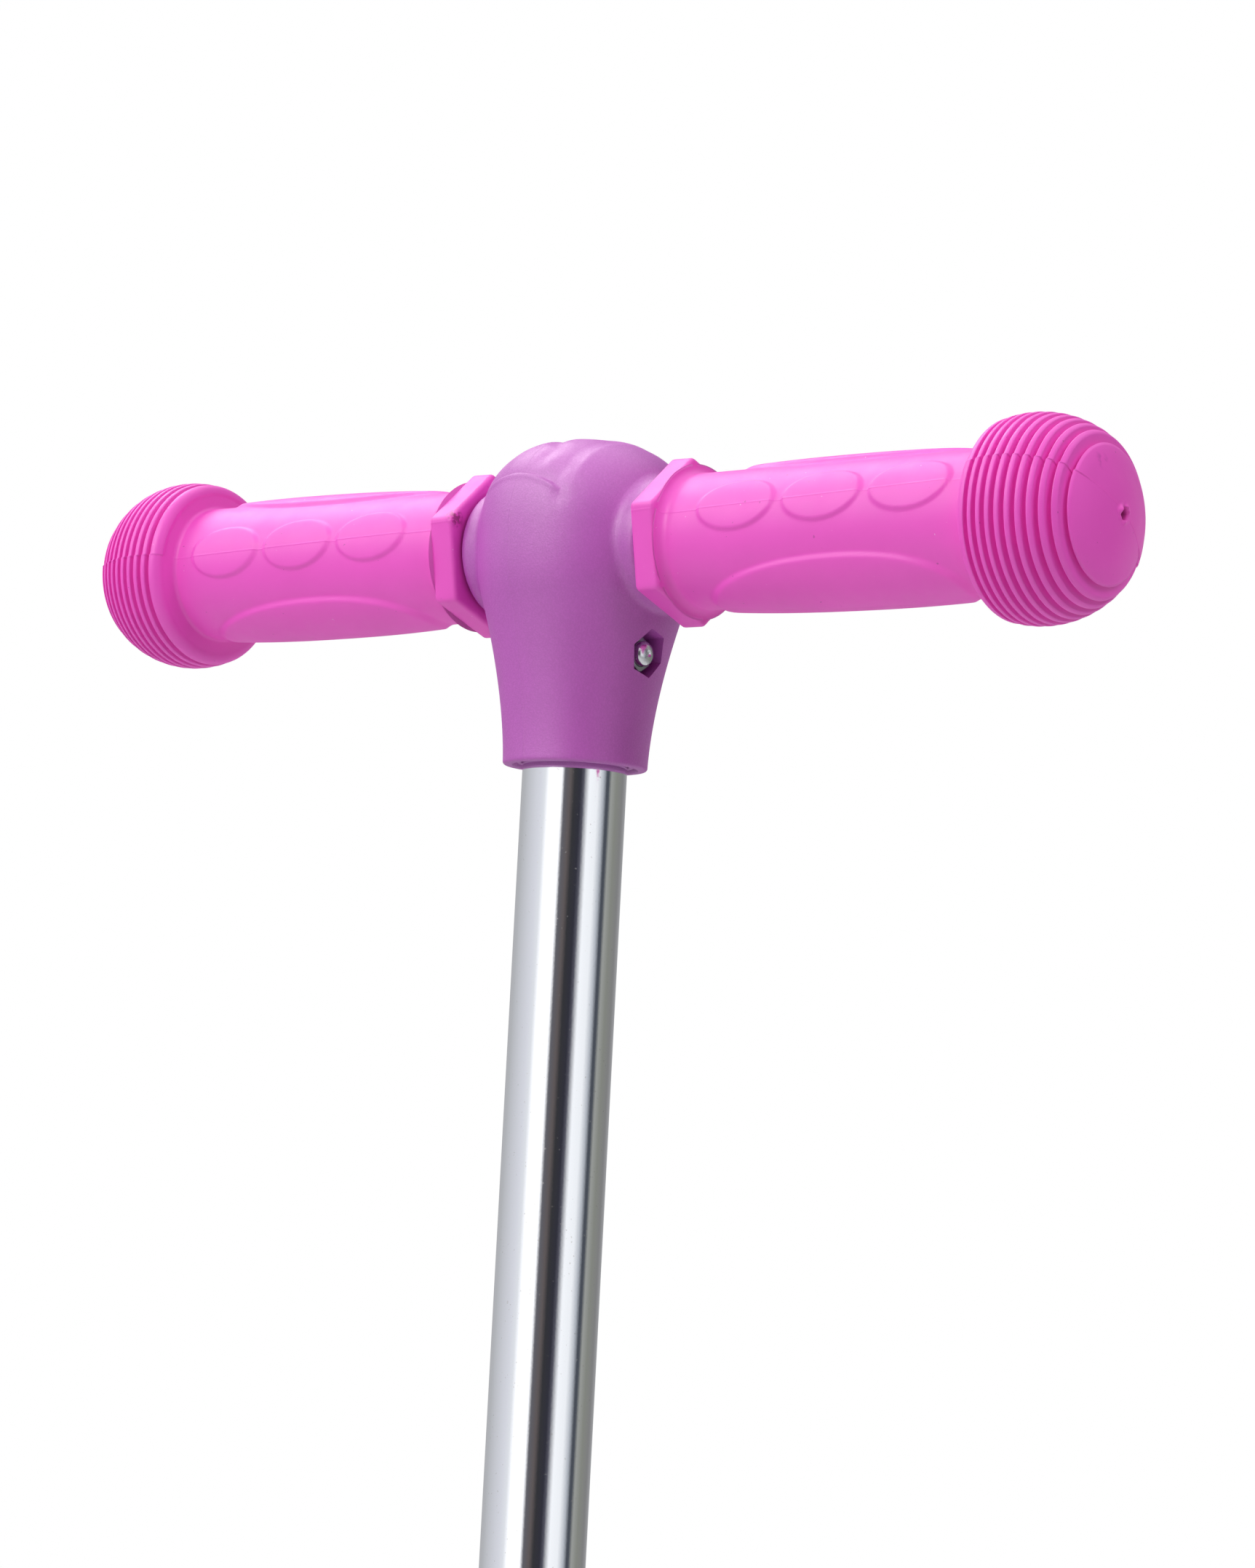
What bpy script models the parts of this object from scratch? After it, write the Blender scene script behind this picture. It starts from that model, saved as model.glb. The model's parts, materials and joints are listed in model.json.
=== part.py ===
"""Children's pogo stick with a T handle, as an assembly of separate pieces.

Frame: the origin is the centre of the rubber tip's bottom face, on the ground. +Z runs up the
stick, +X along the crossbar to the right grip, and -Y points forward, away from the rider.
Lengths in the constants are millimetres; MM turns them into metres.
"""
import math

import bmesh
import bpy
from mathutils import Matrix, Vector

MM = 0.001
MERGE = 0.00001
GAP = 0.3           # between pieces that touch
SLIDE_GAP = 0.1     # between a sliding piece and its guide
FINE = 32           # sides of the large round pieces
PLAIN = 20          # sides of the other round pieces
SMALL = 10          # sides of fasteners

# Handle
CROSSBAR_Z = 880.0
CROSSBAR_R = 11.0
CROSSBAR_HALF = 140.5
HUB_TOP = 26.2          # above the crossbar's axis
HUB_RIM = -52.7         # below the crossbar's axis
HUB_R = 26.3            # the bulb's largest radius
HUB_SHOULDER = -13.0    # height where the bulb passes into the skirt
HUB_SHOULDER_R = 24.4
HUB_RIM_R = 17.3
BOSS_R = 16.4           # collar of the hub next to each grip
FLANGE_IN = 27.2        # the grip's hexagonal flange, distances from the middle
FLANGE_OUT = 34.1
FLANGE_CORNER_R = 20.1
FLANGE_TILT = 11.0      # degrees that the front flat looks down
GRIP_R = 16.4
GRIP_SWELL = 0.9        # extra radius in the middle of the grip
BALL_MID = 129.1
BALL_R = 23.8
BALL_BACK = 120.9       # the ball's flat back, this far from the middle
BALL_BACK_R = 20.3      # where the flat back rounds over into the ball
BALL_RIBS = 10
CAP_EDGE = 146.0        # where the ribs stop and the smooth end cap begins
GRIP_END = 150.6
BOLT_Z = CROSSBAR_Z - 25.9
BOLT_R = 2.5
NUT_FLATS = 8.0
POCKET_FLATS = 10.2
POCKET_FLOOR = 15.2     # distance of the pockets' floors from the stick's axis

# Stick
TUBE_R = 12.5
TUBE_WALL = 1.4
TUBE_TOP = 866.0
SLEEVE_R = 14.0
SHAFT_R = 9.0
SHAFT_WALL = 2.0
SHAFT_TOP = 268.0

# Lower end, heights above the ground
TIP_TOP = 44.0
TIP_FLOOR = 12.0        # floor of the tip's bore
WASHER_THICK = 1.8
COLLAR_BOTTOM = 46.0
COLLAR_FLANGE = 54.0
COLLAR_FLANGE_TOP = 58.0
COLLAR_TOP = 64.0
BUSHING_BOTTOM = 184.0
BUSHING_FLANGE = 190.0
BUSHING_FLANGE_TOP = 194.0
BUSHING_TOP = 234.0
BUMPER_HEIGHT = 10.0
GUIDE_HEIGHT = 22.0
SEAT_R = 19.5
PILOT_R = 13.4
SPRING_MEAN_R = 16.2
WIRE_R = 2.0
SPRING_TURNS = 10.0
PIN_R = 2.0

# Footrests
REST_Z = 245.0          # middle of the bracket
PLATE_THICK = 2.5
PLATE_SPLIT = 0.8       # half of the slot between the two bracket plates
ARM_HALF = 9.0
ARM_END = 98.0
CLAMP_HALF = 16.0
CLAMP_R = 15.3
CLAMP_BOLT_X = 21.6
REST_IN = 28.5
REST_OUT = 114.0
REST_HALF_WIDTH = 25.0
REST_BOTTOM = 231.0
REST_TOP = 259.0
REST_BOLT_X = 74.0
PAD_THICK = 2.4
PAD_RIB = 1.2
PAD_RIBS = 7

BACK_TO_FRONT = (math.radians(90), 0, 0)     # turns local +Z to world -Y
TO_RIGHT = (0, math.radians(90), 0)          # turns local +Z to world +X
TO_LEFT = (0, math.radians(-90), 0)          # turns local +Z to world -X


def clear_scene():
    for obj in list(bpy.data.objects):
        bpy.data.objects.remove(obj, do_unlink=True)


def new_collection(name):
    collection = bpy.data.collections.new(name)
    bpy.context.scene.collection.children.link(collection)
    return collection


def principled(name, colour, roughness, metallic=0.0):
    material = bpy.data.materials.new(name)
    material.use_nodes = True
    shader = material.node_tree.nodes["Principled BSDF"]
    shader.inputs["Base Color"].default_value = (*colour, 1.0)
    shader.inputs["Roughness"].default_value = roughness
    shader.inputs["Metallic"].default_value = metallic
    return material


# ---------------------------------------------------------------- shapes

def add_mesh(name, mesh, place=(0, 0, 0), turn=(0, 0, 0)):
    """An object at a place in millimetres, not yet in a collection."""
    obj = bpy.data.objects.new(name, mesh)
    obj.location = Vector(place) * MM
    obj.rotation_euler = turn
    return obj


def turned(name, profile, sides=PLAIN, place=(0, 0, 0), turn=(0, 0, 0)):
    """A solid turned about local Z.

    The profile is (radius, height) pairs, running down the outer side and then up the inner
    side. It is closed unless it starts and ends on the axis.
    """
    mesh = bpy.data.meshes.new(name)
    points = [(radius * MM, 0, height * MM) for radius, height in profile]
    edges = [(i, i + 1) for i in range(len(points) - 1)]
    if profile[0][0] > 0:
        edges.append((len(points) - 1, 0))
    mesh.from_pydata(points, edges, [])
    obj = add_mesh(name, mesh, place, turn)
    screw = obj.modifiers.new("Screw", "SCREW")
    screw.steps = sides
    screw.render_steps = sides
    screw.use_merge_vertices = True
    screw.merge_threshold = MERGE
    return obj


def rod(name, radius, low, high, sides=SMALL, place=(0, 0, 0), turn=(0, 0, 0), phase=0.0):
    """A solid cylinder from low to high along local Z, its first corner turned by phase degrees."""
    mesh = bpy.data.meshes.new(name)
    bm = bmesh.new()
    bmesh.ops.create_cone(bm, cap_ends=True, segments=sides, radius1=radius * MM,
                          radius2=radius * MM, depth=(high - low) * MM)
    bmesh.ops.translate(bm, verts=bm.verts, vec=(0, 0, (low + high) / 2 * MM))
    bmesh.ops.rotate(bm, verts=bm.verts, matrix=Matrix.Rotation(math.radians(phase), 3, "Z"))
    bm.to_mesh(mesh)
    bm.free()
    return add_mesh(name, mesh, place, turn)


def pipe(name, outer, inner, low, high, sides=FINE, place=(0, 0, 0), turn=(0, 0, 0)):
    profile = [(outer, high), (outer, low), (inner, low), (inner, high)]
    return turned(name, profile, sides, place, turn)


def hexagon(name, flats, low, high, place=(0, 0, 0), turn=(0, 0, 0)):
    """A hexagonal prism, given by its width across flats."""
    return rod(name, flats / math.sqrt(3), low, high, 6, place, turn)


def block(name, low, high, rounding=0.0):
    """A box between two corners, with rounded edges if asked."""
    low = Vector(low)
    high = Vector(high)
    mesh = bpy.data.meshes.new(name)
    bm = bmesh.new()
    bmesh.ops.create_cube(bm, size=MM)
    bmesh.ops.scale(bm, verts=bm.verts, vec=high - low)
    bm.to_mesh(mesh)
    bm.free()
    obj = add_mesh(name, mesh, (low + high) / 2)
    if rounding:
        bevel = obj.modifiers.new("Bevel", "BEVEL")
        bevel.width = rounding * MM
        bevel.segments = 2
    return obj


def combine(obj, other, operation):
    """Join another shape to the object or cut it away, keeping that shape as a hidden guide."""
    guides.objects.link(other)
    other.hide_render = True
    other.display_type = "WIRE"
    boolean = obj.modifiers.new(other.name, "BOOLEAN")
    boolean.operation = operation
    boolean.solver = "EXACT"
    boolean.object = other
    return obj


def cut(obj, cutter):
    return combine(obj, cutter, "DIFFERENCE")


def join(obj, other):
    return combine(obj, other, "UNION")


def finish(obj, material, carrier):
    """Put a finished piece in the assembly, on the body that carries it."""
    obj.data.materials.append(material)
    assembly.objects.link(obj)
    obj.parent = carrier
    return obj


# ---------------------------------------------------------------- fasteners

def button_bolt(name, radius, length, head_radius, head_height, place, turn):
    """A button-head bolt: local Z runs out of its head, whose underside is at height 0."""
    profile = [(0, head_height), (head_radius * 0.62, head_height),
               (head_radius, head_height * 0.45), (head_radius, 0), (radius, 0),
               (radius, -length + 0.6), (radius - 0.6, -length), (0, -length)]
    bolt = turned(name, profile, SMALL, place, turn)
    socket = hexagon(name + "_socket", radius * 1.2, head_height * 0.3, head_height + 2,
                     place, turn)
    return cut(bolt, socket)


def hex_nut(name, flats, bore, low, high, place, turn):
    nut = hexagon(name, flats, low, high, place, turn)
    return cut(nut, rod(name + "_bore", bore, low - 2, high + 2, SMALL, place, turn))


def washer(name, outer, bore, low, high, place, turn):
    return pipe(name, outer, bore, low, high, PLAIN, place, turn)


# ---------------------------------------------------------------- handle

def bulb_profile():
    """The hub's outline: a full dome, a shoulder and a hollow-sided skirt, as radius and height."""
    squareness = 2.65
    dome_steps = 7
    points = [(0.0, HUB_TOP)]
    for i in range(1, dome_steps):
        angle = math.radians(90) * (1 - i / dome_steps)
        radius = HUB_R * math.cos(angle) ** (2 / squareness)
        points.append((radius, HUB_TOP * math.sin(angle) ** (2 / squareness)))
    points.append((HUB_R, 0.0))
    points.append(((HUB_R + HUB_SHOULDER_R) / 2 + 0.4, HUB_SHOULDER / 2))
    skirt_steps = 6
    for i in range(skirt_steps + 1):
        share = 1 - i / skirt_steps
        radius = HUB_RIM_R + (HUB_SHOULDER_R - HUB_RIM_R) * share ** 1.66
        points.append((radius, HUB_RIM + (HUB_SHOULDER - HUB_RIM) * share))
    points.append((0.0, HUB_RIM))
    return points


def make_hub():
    middle = (0, 0, CROSSBAR_Z)
    hub = turned("handle_hub", bulb_profile(), FINE, middle)
    boss_end = FLANGE_IN - GAP
    join(hub, rod("hub_boss", BOSS_R, -boss_end, boss_end, FINE, middle, TO_RIGHT))
    cut(hub, rod("hub_socket", SLEEVE_R + GAP, HUB_RIM - 2, TUBE_TOP - CROSSBAR_Z + 1, FINE,
                 middle))
    bolt_place = (0, 0, BOLT_Z)
    cut(hub, hexagon("hub_nut_pocket", POCKET_FLATS, POCKET_FLOOR, 31, bolt_place, TO_RIGHT))
    cut(hub, rod("hub_head_pocket", POCKET_FLATS / 2, POCKET_FLOOR, 31, PLAIN, bolt_place,
                 TO_LEFT))
    cut(hub, rod("hub_bolt_bore", BOLT_R + GAP, -32, 32, SMALL, bolt_place, TO_RIGHT))
    cut(hub, rod("hub_bar_bore", CROSSBAR_R + GAP, -40, 40, PLAIN, middle, TO_RIGHT))
    finish(hub, purple, frame_body)

    sleeve = pipe("hub_sleeve", SLEEVE_R, TUBE_R + GAP, CROSSBAR_Z + HUB_RIM + 0.6, TUBE_TOP)
    cut(sleeve, rod("sleeve_bolt_bore", BOLT_R + GAP, -20, 20, SMALL, bolt_place, TO_RIGHT))
    finish(sleeve, purple, frame_body)


def make_hub_fasteners():
    place = (0, 0, BOLT_Z)
    under_head = POCKET_FLOOR + GAP + 1.0 + GAP
    nut_low = POCKET_FLOOR + GAP
    nut_high = nut_low + 4.0
    length = under_head + nut_high + 1.2
    head_place = (-under_head, 0, BOLT_Z)
    bolt = button_bolt("hub_bolt", BOLT_R, length, 4.4, 2.6, head_place, TO_LEFT)
    finish(bolt, zinc, frame_body)
    ring = washer("hub_washer", 4.7, BOLT_R + GAP, POCKET_FLOOR + GAP, POCKET_FLOOR + GAP + 1.0,
                  place, TO_LEFT)
    finish(ring, zinc, frame_body)
    nut = hex_nut("hub_nut", NUT_FLATS, BOLT_R + GAP, nut_low, nut_high, place, TO_RIGHT)
    finish(nut, zinc, frame_body)


def grip_profile():
    """The grip's outline from the end cap to the flange, as radius and distance from the middle."""
    points = [(0, GRIP_END), (9.0, GRIP_END - 1.4), (15.6, CAP_EDGE + 0.3)]
    first = BALL_BACK + 2.9
    pitch = (CAP_EDGE - first) / BALL_RIBS
    groove = 1.4
    for i in range(BALL_RIBS):
        low = CAP_EDGE - i * pitch
        for height, depth in ((low, 0), (low - pitch * 0.45, 0), (low - pitch * 0.6, groove),
                              (low - pitch * 0.9, groove)):
            ball = math.sqrt(max(BALL_R ** 2 - (height - BALL_MID) ** 2, 0))
            points.append((ball - depth, height))
    points += [(BALL_R - 0.7, first - 0.1), (BALL_R - 0.9, BALL_BACK + 2.1),
               (BALL_BACK_R, BALL_BACK), (GRIP_R + 1.2, BALL_BACK - 0.4),
               (GRIP_R + 0.2, BALL_BACK - 1.6)]
    body_steps = 5
    body_top = BALL_BACK - 3.4
    for i in range(body_steps + 1):
        share = i / body_steps
        radius = GRIP_R + GRIP_SWELL * math.sin(math.pi * share)
        points.append((radius, body_top + (FLANGE_OUT + 2 - body_top) * share))
    points += [(GRIP_R + 0.8, FLANGE_OUT - 1), (GRIP_R + 0.8, FLANGE_IN + 1),
               (0, FLANGE_IN + 1)]
    return points


def make_grip(name, turn, tilt):
    """A grip along local Z; tilt turns its hexagon about the bar, in degrees."""
    middle = (0, 0, CROSSBAR_Z)
    grip = turned(name, grip_profile(), PLAIN, middle, turn)
    flange = rod(name + "_flange", FLANGE_CORNER_R, FLANGE_IN, FLANGE_OUT, 6, middle,
                 turn, 30 + tilt)
    bevel = flange.modifiers.new("Bevel", "BEVEL")
    bevel.width = 1.2 * MM
    bevel.segments = 1
    join(grip, flange)
    cut(grip, rod(name + "_bore", CROSSBAR_R + GAP, FLANGE_IN - 2, CROSSBAR_HALF + GAP, PLAIN,
                  middle, turn))
    finish(grip, pink, frame_body)


def make_crossbar():
    bar = pipe("crossbar", CROSSBAR_R, CROSSBAR_R - 1.5, -CROSSBAR_HALF, CROSSBAR_HALF, PLAIN,
               (0, 0, CROSSBAR_Z), TO_RIGHT)
    finish(bar, steel, frame_body)


# ---------------------------------------------------------------- stick and footrests

def make_outer_tube():
    tube = pipe("outer_tube", TUBE_R, TUBE_R - TUBE_WALL, BUSHING_FLANGE_TOP + GAP, TUBE_TOP)
    cut(tube, rod("tube_bolt_bore", BOLT_R + GAP, -20, 20, SMALL, (0, 0, BOLT_Z), TO_RIGHT))
    cut(tube, rod("tube_screw_bore", 1.7 + GAP, -20, 20, SMALL, (0, 0, BUSHING_FLANGE + 16),
                  BACK_TO_FRONT))
    finish(tube, chrome, frame_body)


def make_bracket_half(name, side):
    """One pressed-steel half of the footrest bracket; side is -1 in front and 1 behind."""
    near = side * PLATE_SPLIT
    far = side * (PLATE_SPLIT + PLATE_THICK)
    low_y = min(near, far)
    high_y = max(near, far)
    half = block(name, (-ARM_END, low_y, REST_Z - ARM_HALF), (ARM_END, high_y, REST_Z + ARM_HALF))
    shell = rod(name + "_shell", CLAMP_R, REST_Z - CLAMP_HALF, REST_Z + CLAMP_HALF, FINE)
    shell_half = block(name + "_other_side", (-30, -side * 30 if side > 0 else near,
                                              REST_Z - 30),
                       (30, near if side > 0 else 30, REST_Z + 30))
    cut(shell, shell_half)
    join(half, shell)
    cut(half, rod(name + "_tube_bore", TUBE_R + GAP, REST_Z - 30, REST_Z + 30, FINE))
    for x in (-REST_BOLT_X, -CLAMP_BOLT_X, CLAMP_BOLT_X, REST_BOLT_X):
        radius = 3.0 if abs(x) == CLAMP_BOLT_X else BOLT_R
        hole = f"{name}_hole_{x:+.0f}"
        cut(half, rod(hole, radius + GAP, -20, 20, SMALL, (x, 0, REST_Z), BACK_TO_FRONT))
    finish(half, steel, frame_body)


def make_clamp_fasteners(word, x):
    face = PLATE_SPLIT + PLATE_THICK + GAP
    bolt_r = 3.0
    ring_thick = 1.2
    nut_low = face + ring_thick + GAP
    nut_high = nut_low + 5.0
    head_place = (x, -face, REST_Z)
    place = (x, 0, REST_Z)
    to_back = (math.radians(-90), 0, 0)
    bolt = button_bolt("clamp_bolt_" + word, bolt_r, face + nut_high + 2.0, 5.4, 3.2,
                       head_place, BACK_TO_FRONT)
    finish(bolt, zinc, frame_body)
    ring = washer("clamp_washer_" + word, 5.8, bolt_r + GAP, face, face + ring_thick, place,
                  to_back)
    finish(ring, zinc, frame_body)
    nut = hex_nut("clamp_nut_" + word, 10.0, bolt_r + GAP, nut_low, nut_high, place, to_back)
    finish(nut, zinc, frame_body)


def make_footrest(word, side):
    """A moulded footrest that slips over both bracket arms; side is -1 left and 1 right."""
    def across(x_in, x_out):
        return min(side * x_in, side * x_out), max(side * x_in, side * x_out)

    low_x, high_x = across(REST_IN, REST_OUT)
    rest = block("footrest_" + word, (low_x, -REST_HALF_WIDTH, REST_BOTTOM),
                 (high_x, REST_HALF_WIDTH, REST_TOP), 4.0)
    low_x, high_x = across(REST_IN - 5, ARM_END + 1)
    plates = PLATE_SPLIT + PLATE_THICK + GAP
    cut(rest, block("arm_slot_" + word, (low_x, -plates, REST_Z - ARM_HALF - GAP),
                    (high_x, plates, REST_Z + ARM_HALF + GAP)))
    for row in (-1, 1):
        low_y = min(row * 7, row * 20.5)
        high_y = max(row * 7, row * 20.5)
        for number, start in enumerate((35.0, 84.0)):
            low_x, high_x = across(start, start + 26)
            name = f"weight_saver_{word}_{'front' if row < 0 else 'back'}_{number}"
            cut(rest, block(name, (low_x, low_y, REST_BOTTOM - 5),
                            (high_x, high_y, REST_TOP - 5)))
    place = (side * REST_BOLT_X, 0, REST_Z)
    cut(rest, rod("rest_bore_" + word, BOLT_R + GAP, -30, 30, SMALL, place, BACK_TO_FRONT))
    cut(rest, rod("rest_head_pocket_" + word, 5.2, 17.0, 30, PLAIN, place, BACK_TO_FRONT))
    to_back = (math.radians(-90), 0, 0)
    cut(rest, hexagon("rest_nut_pocket_" + word, NUT_FLATS + 2 * GAP, 17.0, 30, place, to_back))
    finish(rest, purple, frame_body)

    head_place = (side * REST_BOLT_X, -17.0 - GAP, REST_Z)
    nut_high = 17.0 + GAP + 4.0
    bolt = button_bolt("footrest_bolt_" + word, BOLT_R, 17.0 + GAP + nut_high + 1.0, 4.4, 2.6,
                       head_place, BACK_TO_FRONT)
    finish(bolt, zinc, frame_body)
    nut = hex_nut("footrest_nut_" + word, NUT_FLATS, BOLT_R + GAP, 17.0 + GAP, nut_high, place,
                  to_back)
    finish(nut, zinc, frame_body)


def make_tread_pad(word, side):
    low_x = min(side * (REST_IN + 5), side * (REST_OUT - 5))
    high_x = max(side * (REST_IN + 5), side * (REST_OUT - 5))
    half_width = REST_HALF_WIDTH - 5
    base = REST_TOP + GAP
    pad = block("tread_pad_" + word, (low_x, -half_width, base),
                (high_x, half_width, base + PAD_THICK))
    pitch = (high_x - low_x) / PAD_RIBS
    for i in range(PAD_RIBS):
        middle = low_x + (i + 0.5) * pitch
        rib = block(f"rib_{word}_{i}", (middle - 3, 2 - half_width, base + 1),
                    (middle + 3, half_width - 2, base + PAD_THICK + PAD_RIB))
        join(pad, rib)
    finish(pad, pink, frame_body)


def make_lower_bushing():
    """The guide in the tube's mouth, whose flange is also the spring's upper seat."""
    bore = SHAFT_R + SLIDE_GAP
    body = TUBE_R - TUBE_WALL - GAP
    profile = [(body, BUSHING_TOP), (body, BUSHING_FLANGE_TOP), (SEAT_R, BUSHING_FLANGE_TOP),
               (SEAT_R, BUSHING_FLANGE), (PILOT_R, BUSHING_FLANGE),
               (PILOT_R - 0.8, BUSHING_BOTTOM), (bore, BUSHING_BOTTOM), (bore, BUSHING_TOP)]
    bushing = turned("lower_bushing", profile, FINE)
    screw_z = BUSHING_FLANGE + 16
    cut(bushing, rod("bushing_screw_bore", 1.7 + GAP, -20, 20, SMALL, (0, 0, screw_z),
                     BACK_TO_FRONT))
    finish(bushing, nylon, frame_body)
    head_y = TUBE_R + GAP
    shank = head_y - SHAFT_R - 0.6
    for word, side in (("front", -1), ("back", 1)):
        screw = turned("bushing_screw_" + word,
                       [(0, 2.0), (2.2, 2.0), (3.4, 0.9), (3.4, 0.0), (1.7, 0.0),
                        (1.7, -shank), (0, -shank)], SMALL, (0, side * head_y, screw_z),
                       (math.radians(-90 * side), 0, 0))
        finish(screw, zinc, frame_body)
    low = BUSHING_TOP + GAP
    bumper = pipe("top_out_bumper", TUBE_R - TUBE_WALL - GAP, SHAFT_R + GAP, low,
                  low + BUMPER_HEIGHT - GAP, PLAIN)
    finish(bumper, rubber, frame_body)


def make_spring():
    """Closed at both ends: one tight turn, the working turns, and one tight turn."""
    low = COLLAR_FLANGE_TOP + GAP + WIRE_R
    high = BUSHING_FLANGE - GAP - WIRE_R
    tight = 2 * WIRE_R + 0.5
    points_per_turn = 12
    count = int(SPRING_TURNS * points_per_turn) + 1
    curve = bpy.data.curves.new("spring", "CURVE")
    curve.dimensions = "3D"
    curve.bevel_depth = WIRE_R * MM
    curve.bevel_resolution = 2
    curve.use_fill_caps = True
    spline = curve.splines.new("POLY")
    spline.points.add(count - 1)
    pitch = (high - low - 2 * tight) / (SPRING_TURNS - 2)
    for i in range(count):
        turn = i / points_per_turn
        if turn <= 1:
            height = low + tight * turn
        elif turn >= SPRING_TURNS - 1:
            height = high - tight * (SPRING_TURNS - turn)
        else:
            height = low + tight + pitch * (turn - 1)
        angle = 2 * math.pi * turn
        spline.points[i].co = (SPRING_MEAN_R * MM * math.cos(angle),
                               SPRING_MEAN_R * MM * math.sin(angle), height * MM, 1)
    finish(bpy.data.objects.new("spring", curve), spring_steel, frame_body)


# ---------------------------------------------------------------- plunger

def make_shaft():
    low = TIP_FLOOR + GAP + WASHER_THICK + GAP
    shaft = pipe("plunger_shaft", SHAFT_R, SHAFT_R - SHAFT_WALL, low, SHAFT_TOP)
    guide_low = BUSHING_TOP + BUMPER_HEIGHT + GAP
    pin_z = guide_low + GUIDE_HEIGHT / 2
    cut(shaft, rod("shaft_guide_pin_bore", PIN_R + GAP, -20, 20, SMALL, (0, 0, pin_z), TO_RIGHT))
    collar_pin_z = (COLLAR_BOTTOM + COLLAR_FLANGE) / 2
    cut(shaft, rod("shaft_collar_pin_bore", PIN_R + GAP, -20, 20, SMALL,
                   (0, 0, collar_pin_z), BACK_TO_FRONT))
    finish(shaft, chrome, plunger_body)

    guide = pipe("upper_bushing", TUBE_R - TUBE_WALL - SLIDE_GAP, SHAFT_R + GAP, guide_low,
                 guide_low + GUIDE_HEIGHT)
    cut(guide, rod("guide_pin_bore", PIN_R + GAP, -20, 20, SMALL, (0, 0, pin_z), TO_RIGHT))
    finish(guide, nylon, plunger_body)
    pin = rod("bushing_pin", PIN_R, -10.2, 10.2, SMALL, (0, 0, pin_z), TO_RIGHT)
    finish(pin, zinc, plunger_body)

    bore = SHAFT_R + GAP
    profile = [(PILOT_R - 0.8, COLLAR_TOP), (PILOT_R, COLLAR_FLANGE_TOP),
               (SEAT_R, COLLAR_FLANGE_TOP), (SEAT_R, COLLAR_FLANGE), (14.2, COLLAR_FLANGE),
               (14.2, COLLAR_BOTTOM), (bore, COLLAR_BOTTOM), (bore, COLLAR_TOP)]
    collar = turned("spring_collar", profile, FINE)
    cut(collar, rod("collar_pin_bore", PIN_R + GAP, -20, 20, SMALL, (0, 0, collar_pin_z),
                    BACK_TO_FRONT))
    finish(collar, zinc, plunger_body)
    pin = rod("collar_pin", PIN_R, -13.8, 13.8, SMALL, (0, 0, collar_pin_z), BACK_TO_FRONT)
    finish(pin, steel, plunger_body)


def make_tip():
    pocket_r = 12.3
    bore = SHAFT_R + GAP
    pocket_top = TIP_FLOOR + 2 * GAP + WASHER_THICK
    profile = [(0, TIP_FLOOR), (pocket_r, TIP_FLOOR), (pocket_r, pocket_top),
               (bore, pocket_top), (bore, TIP_TOP), (13.4, TIP_TOP), (14.4, TIP_TOP - 1),
               (14.4, 40.6), (13.6, 40.0), (13.6, 37.0), (14.4, 36.4), (15.0, 32.0),
               (17.2, 24.0), (20.4, 16.0), (22.0, 9.0), (22.0, 3.0), (20.0, 0.0), (0, 0)]
    finish(turned("rubber_tip", profile, FINE), rubber, plunger_body)
    washer_low = TIP_FLOOR + GAP
    disc = rod("tip_washer", pocket_r - GAP, washer_low, washer_low + WASHER_THICK, PLAIN)
    finish(disc, zinc, plunger_body)
    wire = 0.9
    ring_r = 13.6 + GAP + wire
    ring_z = 38.5
    profile = [(ring_r + wire * math.cos(a), ring_z + wire * math.sin(a))
               for a in (math.radians(90 - 45 * k) for k in range(8))]
    finish(turned("tip_clip", profile, PLAIN), steel, plunger_body)


clear_scene()
assembly = new_collection("pogo_stick")
guides = new_collection("cutters")

purple = principled("purple_plastic", (0.42, 0.10, 0.40), 0.5)
pink = principled("pink_pvc", (0.78, 0.13, 0.56), 0.45)
chrome = principled("bright_tube", (0.85, 0.86, 0.88), 0.12, 1.0)
steel = principled("steel", (0.55, 0.56, 0.58), 0.35, 1.0)
spring_steel = principled("spring_steel", (0.35, 0.36, 0.38), 0.3, 1.0)
zinc = principled("zinc", (0.72, 0.74, 0.76), 0.3, 1.0)
nylon = principled("black_nylon", (0.03, 0.03, 0.035), 0.5)
rubber = principled("black_rubber", (0.02, 0.02, 0.02), 0.75)

frame_body = bpy.data.objects.new("frame_body", None)
plunger_body = bpy.data.objects.new("plunger_body", None)
for empty in (frame_body, plunger_body):
    assembly.objects.link(empty)

make_hub()
make_hub_fasteners()
make_crossbar()
make_grip("grip_right", TO_RIGHT, FLANGE_TILT)
make_grip("grip_left", TO_LEFT, -FLANGE_TILT)
make_outer_tube()
make_bracket_half("bracket_front", -1)
make_bracket_half("bracket_rear", 1)
for word, side in (("left", -1), ("right", 1)):
    make_clamp_fasteners(word, side * CLAMP_BOLT_X)
    make_footrest(word, side)
    make_tread_pad(word, side)
make_lower_bushing()
make_spring()
make_shaft()
make_tip()
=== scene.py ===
"""Looks of the pogo stick: fine meshes, materials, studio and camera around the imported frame.

Lengths in the constants are millimetres unless a name says otherwise; MM turns them into metres.
X runs along the crossbar to the right grip, -Y to the front, Z up. Heights on the handle are
measured from the crossbar's axis.
"""
import json
import math

import bmesh
import bpy
import numpy as np
from mathutils import Matrix, Vector


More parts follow.
